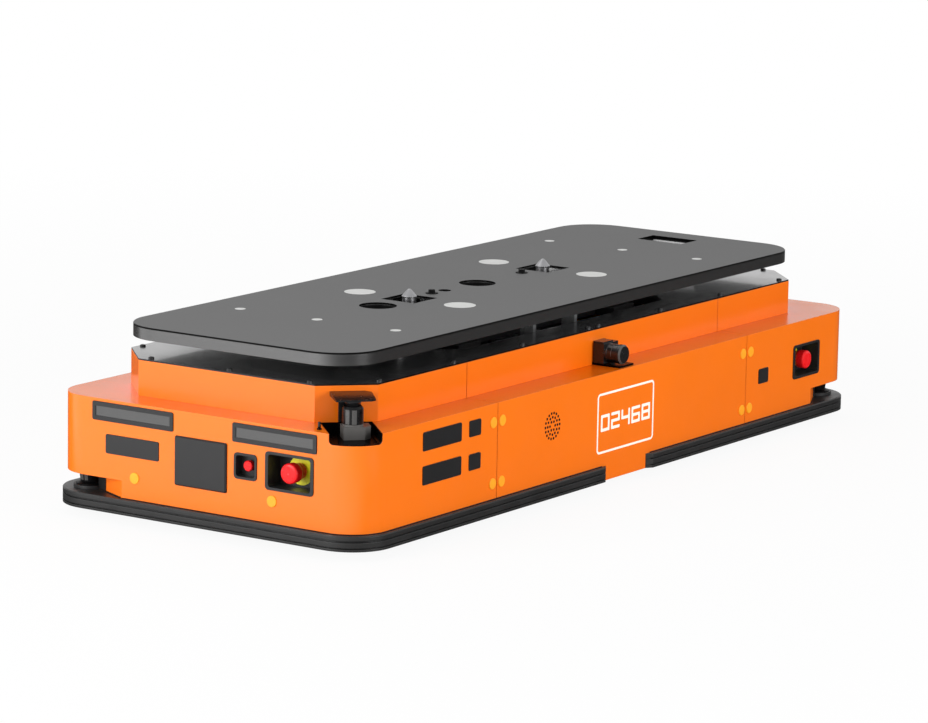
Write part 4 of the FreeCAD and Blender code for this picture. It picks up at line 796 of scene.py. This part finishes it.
def corner_place(sign):
    """Matrix at the middle of a corner lidar's foot, with x the way it faces."""
    low, high = solid_box("corner_lidars", lambda v: v.x * sign > 0)
    top = solid_box("corner_lidars", lambda v: v.x * sign > 0 and v.z > high.z - FACE_DEPTH)
    axis = (top[0] + top[1]) / 2
    turn = Matrix.Rotation(math.radians(45 if sign > 0 else 225), 4, "Z")
    return Matrix.Translation((axis.x, axis.y, low.z)) @ turn


def side_unit_place(sign):
    """Matrix at the middle of a side lidar's base, with z out of the robot."""
    low, high = solid_box("side_lidars", lambda v: v.y * sign > 0)
    face = solid_box("side_lidars", lambda v: v.y * sign > max(high.y, -low.y) - FACE_DEPTH)
    axis = (face[0] + face[1]) / 2
    back = min(abs(low.y), abs(high.y)) * sign
    turn = Matrix.Rotation(math.radians(90 - 90 * sign), 4, "Z")
    return Matrix.Translation((axis.x, back, axis.z)) @ turn @ Matrix.Rotation(math.radians(-90), 4, "X")


class ROBOT_OT_lidar_windows(Operator):
    """Painted highlights in the lidar windows, and their dark caps"""
    bl_idname = "robot.lidar_windows"
    bl_label = "Lidar windows"

    def execute(self, context):
        lidar = context.scene.robot_lidars
        # painted highlight colour for the window streaks
        highlight_finish = Finish("lidar_window_band", lidar.band, 0.3, specular=0.3)
        highlight_finish.mottled(0.05, 120.0).worn(0.05, 200.0).grain(900.0, 0.00002)
        band = highlight_finish.done()
        dark = Finish("lidar_head_black", tone(5, 5, 6), 0.3, specular=0.2)
        dark.mottled(0.05, 120.0).worn(0.05, 200.0)
        black = dark.done()
        for name, sign in LIDAR_CORNERS:
            details = (corner_place(sign), lidar)
            piece("lidar_hood_" + name, lidar_hood, details, black, "chassis")
            piece("lidar_bands_" + name, corner_highlights, details, band, "chassis")
        for name, sign in SIDES:
            details = (side_unit_place(sign), lidar)
            piece("lidar_bands_" + name, side_highlights, details, band, "chassis")
        for name, sign in SAFETY_CORNERS:
            details = (safety_place(sign), lidar)
            piece("safety_bands_" + name, safety_highlights, details, band, "chassis")
        return {"FINISHED"}


TRIM_WALLS = ((65, 1), (205, -1))  # the pocket's walls: their degrees, and the side trimmed
TRIM_NEAR, TRIM_FAR = 0.3 * MM, 1.1 * MM  # the trim's two faces, from the line through the axis
FOOT_STRIP = 2 * MM  # height of the strip along the wall's foot, which is painted shadow where the wall meets the bumper


def pocket_trim(bm, place, lidar):
    """Flat trim on both walls of a safety pocket, and a longer strip along their feet that is painted shadow
    where the wall meets the bumper.
    """
    seam = lidar.trim_low + FOOT_STRIP
    for angle, side in TRIM_WALLS:
        along = place @ Matrix.Rotation(math.radians(angle), 4, "Z")
        near, far = -TRIM_NEAR * side, -TRIM_FAR * side
        # the second row is the foot strip, painted shadow where the wall meets the bumper
        for end, low, high in ((lidar.trim_to, seam, lidar.trim_high),
                               (lidar.trim_end, lidar.trim_low, seam)):
            start = lidar.trim_from
            outline = ((start, near), (end, near), (end, far), (start, far))
            close_strip(bm, [[bm.verts.new(along @ Vector((x, y, z))) for x, y in outline]
                             for z in (low, high)])


class ROBOT_OT_safety_trim(Operator):
    """Black trim on the walls of the safety pockets, beside the scanners"""
    bl_idname = "robot.safety_trim"
    bl_label = "Safety pocket trim"

    def execute(self, context):
        lidar = context.scene.robot_lidars
        trim = Finish("safety_trim_black", tone(16, 16, 16), 0.45, specular=0.3)
        trim.mottled(0.08, 40.0).grain(1200.0, 0.00003)
        material = trim.done()
        for name, sign in SAFETY_CORNERS:
            piece("safety_trim_" + name, pocket_trim, (safety_place(sign), lidar), material, "chassis",
                  smooth=False)
        return {"FINISHED"}


DIGIT_CORNER = 0.5  # radians: edges that turn more than this are rounded
DIGIT_ROUND = 0.3  # their rounding, as a share of the stroke
DIGIT_BARS = {"0": "abcdef", "1": "bc", "2": "abged", "3": "abgcd", "4": "fgbc", "5": "afgcd",
              "6": "afgedc", "7": "abc", "8": "abcdefg", "9": "abcfgd"}
# the cells that each bar fills, by column and row from the foot's left
BAR_CELLS = {"a": ((0, 4), (1, 4), (2, 4)), "b": ((2, 2), (2, 3), (2, 4)), "c": ((2, 0), (2, 1), (2, 2)),
             "d": ((0, 0), (1, 0), (2, 0)), "e": ((0, 0), (0, 1), (0, 2)), "f": ((0, 2), (0, 3), (0, 4)),
             "g": ((0, 2), (1, 2), (2, 2))}


def block_digit(bm, bars, number, place):
    """One raised digit with its corners cut round."""
    width, height, stroke = number.digit_width, number.digit_height, number.stroke
    columns = (-width / 2, stroke - width / 2, width / 2 - stroke, width / 2)
    rows = (-height / 2, stroke - height / 2, -stroke / 2, stroke / 2, height / 2 - stroke, height / 2)
    corners = {}

    def corner(i, j):
        if (i, j) not in corners:
            corners[i, j] = bm.verts.new((columns[i], rows[j], 0))
        return corners[i, j]

    cells = {cell for bar in bars for cell in BAR_CELLS[bar]}
    faces = [bm.faces.new((corner(i, j), corner(i + 1, j), corner(i + 1, j + 1), corner(i, j + 1)))
             for i, j in sorted(cells)]
    made = raise_faces(bm, faces, number.thickness) + list(corners.values())
    upright = [e for e in bm.edges if e.verts[0] in made and e.verts[1] in made
               and abs(e.verts[0].co.z - e.verts[1].co.z) > number.thickness / 2
               and len(e.link_faces) == 2 and abs(e.calc_face_angle(0.0)) > DIGIT_CORNER]
    before = set(bm.verts) - set(made)
    bmesh.ops.bevel(bm, geom=upright, offset=stroke * DIGIT_ROUND, segments=3, affect="EDGES", profile=0.5)
    bmesh.ops.transform(bm, matrix=place, verts=[v for v in bm.verts if v not in before])


def number_frame(bm, sign, number):
    """The frame's line, on one side of the robot."""
    width, height, line, radius = number.frame_width, number.frame_height, number.line, number.frame_radius
    outlines = (rounded_rectangle(width, height, radius),
                rounded_rectangle(width - 2 * line, height - 2 * line, radius - line))
    extrude_outline(bm, outlines, side_place(sign, -number.centre, number.height), number.thickness)


def number_digits(bm, sign, number):
    """The digits, on one side of the robot."""
    first = -number.centre - number.pitch * (len(number.digits) - 1) / 2
    for i, digit in enumerate(number.digits):
        place = side_place(sign, first + i * number.pitch, number.height)
        block_digit(bm, DIGIT_BARS[digit], number, place)


class ROBOT_OT_number(Operator):
    """Framed number on both side panels"""
    bl_idname = "robot.number"
    bl_label = "Number"

    def execute(self, context):
        number = context.scene.robot_number
        film = Finish("marking_film", context.scene.robot_paint.marking, 0.5, specular=0.3)
        film.mottled(0.02, 30.0).grain(1500.0, 0.00001)
        material = film.done()
        for side, sign in SIDES:
            for name, maker in (("number_frame_", number_frame), ("number_digits_", number_digits)):
                piece(name + side, maker, (sign, number), material, "chassis", smooth=False)
        return {"FINISHED"}


class ROBOT_OT_running_gear(Operator):
    """Drive wheels, casters and their mounts"""
    bl_idname = "robot.running_gear"
    bl_label = "Running gear"

    def execute(self, context):
        tyre = Finish("wheel_tread", tone(34, 34, 34), 0.7, specular=0.3)
        tyre.mottled(0.12, 30.0).worn(0.08, 60.0).rounded(1.5 * MM).grain(700.0, 0.0001)
        dress(tyre.done(), *matching("caster_wheel_"), *matching("drive_tyre_"))
        zinc = Finish("zinc_plated_steel", tone(176, 178, 180), 0.34, metallic=1.0)
        zinc.mottled(0.10, 40.0).worn(0.08, 60.0).rounded(0.6 * MM).grain(600.0, 0.00003)
        dress(zinc.done(), *matching("caster_fork_"), "lift_screw_front", "lift_screw_rear", "lift_shaft")
        cast = Finish("cast_aluminium", tone(150, 151, 152), 0.5, metallic=0.9)
        cast.mottled(0.08, 25.0).worn(0.08, 60.0).rounded(1.0 * MM).grain(500.0, 0.00008)
        dress(cast.done(), "drive_units", *matching("drive_hub_"), "lift_drive")
        return {"FINISHED"}


class ROBOT_OT_lift(Operator):
    """Lift mechanism and welded frame"""
    bl_idname = "robot.lift"
    bl_label = "Lift and frame"

    def execute(self, context):
        steel = Finish("frame_black_paint", tone(24, 24, 25), 0.5, specular=0.4)
        # the lighter edges are a painted highlight
        steel.mottled(0.10, 10.0).worn(0.08, 30.0).rounded(0.8 * MM).edge_highlight(tone(70, 70, 72), 0.4)
        steel.grain(800.0, 0.00004)
        dress(steel.done(), "base_plate", "chassis_frame", "caster_mounts", "lift_base", "lift_carriage",
              "plate_ribs")
        bar = Finish("ground_column_steel", tone(128, 129, 130), 0.5, metallic=0.2)
        bar.mottled(0.04, 30.0).worn(0.06, 50.0).grain(900.0, 0.00002, 2.0, (2.0, 2.0, 0.1))
        dress(bar.done(), "lift_columns")
        box = Finish("battery_case", tone(48, 48, 50), 0.6)
        box.mottled(0.06, 15.0).rounded(1.0 * MM).grain(900.0, 0.0001)
        dress(box.done(), "battery_pack", "controller_box")
        cone = Finish("speaker_cone", tone(24, 24, 24), 0.8)
        cone.mottled(0.1, 60.0).grain(900.0, 0.0001)
        dress(cone.done(), "speakers")
        return {"FINISHED"}


FLOOR_REACH = 14.0
FLOOR_GREY = (0.86, 0.86, 0.86, 1)
FADE_FROM, FADE_TO = 1.4, 4.5  # distances over which the floor fades to plain white
AHEAD_FROM, AHEAD_TO = 1.0, 1.3  # the front sheen comes in between these places along X
BESIDE_FROM, BESIDE_TO = 0.5, 1.3  # and goes out to a share between these along Y
BESIDE_SHARE = 0.1
LAMP_AIM = Vector((0, 0, 0.2))
LAMPS = (("front_lamp", "key", 2.4, (4.2, -1.2, 1.3)),  # setting that holds the power, size, place
         ("side_lamp", "side", 2.4, (0.4, 4.8, 1.3)),
         ("top_lamp", "top", 3.0, (-0.3, -1.9, 4.2)))


def studio_world(ambient):
    """Even light on surfaces, and plain white for what looks or shines past the floor."""
    world = bpy.data.worlds.new("studio")
    sky = Nodes(world, "ShaderNodeOutputWorld")
    rays = sky.add("ShaderNodeLightPath").outputs
    seen = sky.maths("MAXIMUM", rays["Is Camera Ray"], rays["Is Glossy Ray"])
    seen = sky.maths("MAXIMUM", seen, rays["Is Transmission Ray"])
    soft = sky.add("ShaderNodeBackground", Color=(1, 1, 1, 1), Strength=ambient)
    white = sky.add("ShaderNodeBackground", Color=(1, 1, 1, 1))
    sky.link(sky.mix(seen, soft.outputs[0], white.outputs[0]), sky.end)
    return world


def pale_floor(stage):
    """Floor that is nearly white as seen, with a shadow, and has a sheen of its own in gloss."""
    material = bpy.data.materials.new("pale_floor")
    paint = Nodes(material, "ShaderNodeOutputMaterial")
    rays = paint.add("ShaderNodeLightPath").outputs
    far = paint.add("ShaderNodeVectorMath", operation="LENGTH")
    paint.link(paint.where(), far.inputs[0])
    whiter = paint.spread(far.outputs["Value"], stage.floor_white, 1.0, FADE_FROM, FADE_TO)
    lit = paint.add("ShaderNodeBsdfDiffuse", Color=FLOOR_GREY)
    white = paint.add("ShaderNodeEmission")
    seen = paint.mix(paint.maths("MULTIPLY", rays["Is Camera Ray"], whiter), lit.outputs[0],
                     white.outputs[0])
    # painted reflection: in gloss the floor glows, strongest before the robot
    ahead = paint.spread(paint.axis("X"), stage.sheen_round, stage.sheen_front, AHEAD_FROM, AHEAD_TO)
    beside = paint.spread(paint.axis("Y"), 1.0, BESIDE_SHARE, BESIDE_FROM, BESIDE_TO)
    sheen = paint.add("ShaderNodeEmission")
    paint.link(paint.maths("MULTIPLY", ahead, beside), sheen.inputs["Strength"])
    paint.link(paint.mix(rays["Is Glossy Ray"], seen, sheen.outputs[0]), paint.end)
    mesh = bpy.data.meshes.new("floor")
    corners = [(x * FLOOR_REACH, y * FLOOR_REACH, 0) for x, y in ((-1, -1), (1, -1), (1, 1), (-1, 1))]
    mesh.from_pydata(corners, [], [(0, 1, 2, 3)])
    mesh.materials.append(material)
    return bpy.data.objects.new("floor", mesh)


def soft_lamp(name, power, size, place):
    """Square lamp that shines at the robot."""
    lamp = bpy.data.lights.new(name, "AREA")
    lamp.energy = power
    lamp.size = size
    holder = bpy.data.objects.new(name, lamp)
    turn = (Vector(place) - LAMP_AIM).to_track_quat("Z", "Y")
    holder.matrix_world = Matrix.Translation(place) @ turn.to_matrix().to_4x4()
    return holder


def stage_camera(stage):
    """Camera turned by azimuth, elevation and roll."""
    camera = bpy.data.cameras.new("camera")
    camera.sensor_width = 36.0
    camera.lens = stage.lens
    camera.clip_start, camera.clip_end = 0.1, 100.0
    holder = bpy.data.objects.new("camera", camera)
    a, e = stage.azimuth, stage.elevation
    back = Vector((math.sin(a) * math.cos(e), -math.cos(a) * math.cos(e), math.sin(e)))
    level = Vector((0, 0, 1)).cross(back).normalized()
    raised = back.cross(level)
    right = level * math.cos(stage.roll) + raised * math.sin(stage.roll)
    turn = Matrix((right, back.cross(right), back)).transposed().to_4x4()
    holder.matrix_world = Matrix.Translation(stage.camera_at) @ turn
    return holder


class ROBOT_OT_stage(Operator):
    """Pale floor, soft lamps and the camera"""
    bl_idname = "robot.stage"
    bl_label = "Stage"

    def execute(self, context):
        scene = context.scene
        stage = scene.robot_stage
        scene.world = studio_world(stage.ambient)
        floor = pale_floor(stage)
        scene.collection.objects.link(floor)
        for name, setting, size, place in LAMPS:
            scene.collection.objects.link(soft_lamp(name, getattr(stage, setting), size, place))
        camera = stage_camera(stage)
        scene.collection.objects.link(camera)
        scene.camera = camera
        scene.view_settings.view_transform = "Standard"
        return {"FINISHED"}


class ROBOT_PT_finish(Panel):
    """Lists the robot's pieces and settings"""
    bl_idname = "ROBOT_PT_finish"
    bl_label = "Robot"
    bl_space_type = "VIEW_3D"
    bl_region_type = "UI"
    bl_category = "Robot"

    def draw(self, context):
        for settings in (getattr(context.scene, group) for group in SETTINGS):
            box = self.layout.box()
            for name in settings.bl_rna.properties.keys():
                if name not in ("rna_type", "name"):
                    box.prop(settings, name)
        for operator in OPERATORS:
            self.layout.operator(operator.bl_idname)


SETTINGS = {"robot_paint": PaintSettings, "robot_number": NumberSettings, "robot_lidars": LidarSettings,
            "robot_stage": StageSettings}
OPERATORS = (ROBOT_OT_covers, ROBOT_OT_bumper, ROBOT_OT_deck, ROBOT_OT_plate, ROBOT_OT_panels,
             ROBOT_OT_switches, ROBOT_OT_caps, ROBOT_OT_lidars, ROBOT_OT_lidar_windows,
             ROBOT_OT_safety_trim, ROBOT_OT_number, ROBOT_OT_running_gear, ROBOT_OT_lift, ROBOT_OT_stage)


def register():
    for group in SETTINGS.values():
        bpy.utils.register_class(group)
    for name, group in SETTINGS.items():
        setattr(bpy.types.Scene, name, PointerProperty(type=group))
    for item in OPERATORS + (ROBOT_PT_finish,):
        bpy.utils.register_class(item)


def unregister():
    for item in reversed(OPERATORS + (ROBOT_PT_finish,)):
        bpy.utils.unregister_class(item)
    for name, group in SETTINGS.items():
        delattr(bpy.types.Scene, name)
        bpy.utils.unregister_class(group)


def main():
    register()
    for operator in OPERATORS:
        group, name = operator.bl_idname.split(".")
        getattr(getattr(bpy.ops, group), name)()


if __name__ == "__main__":
    main()
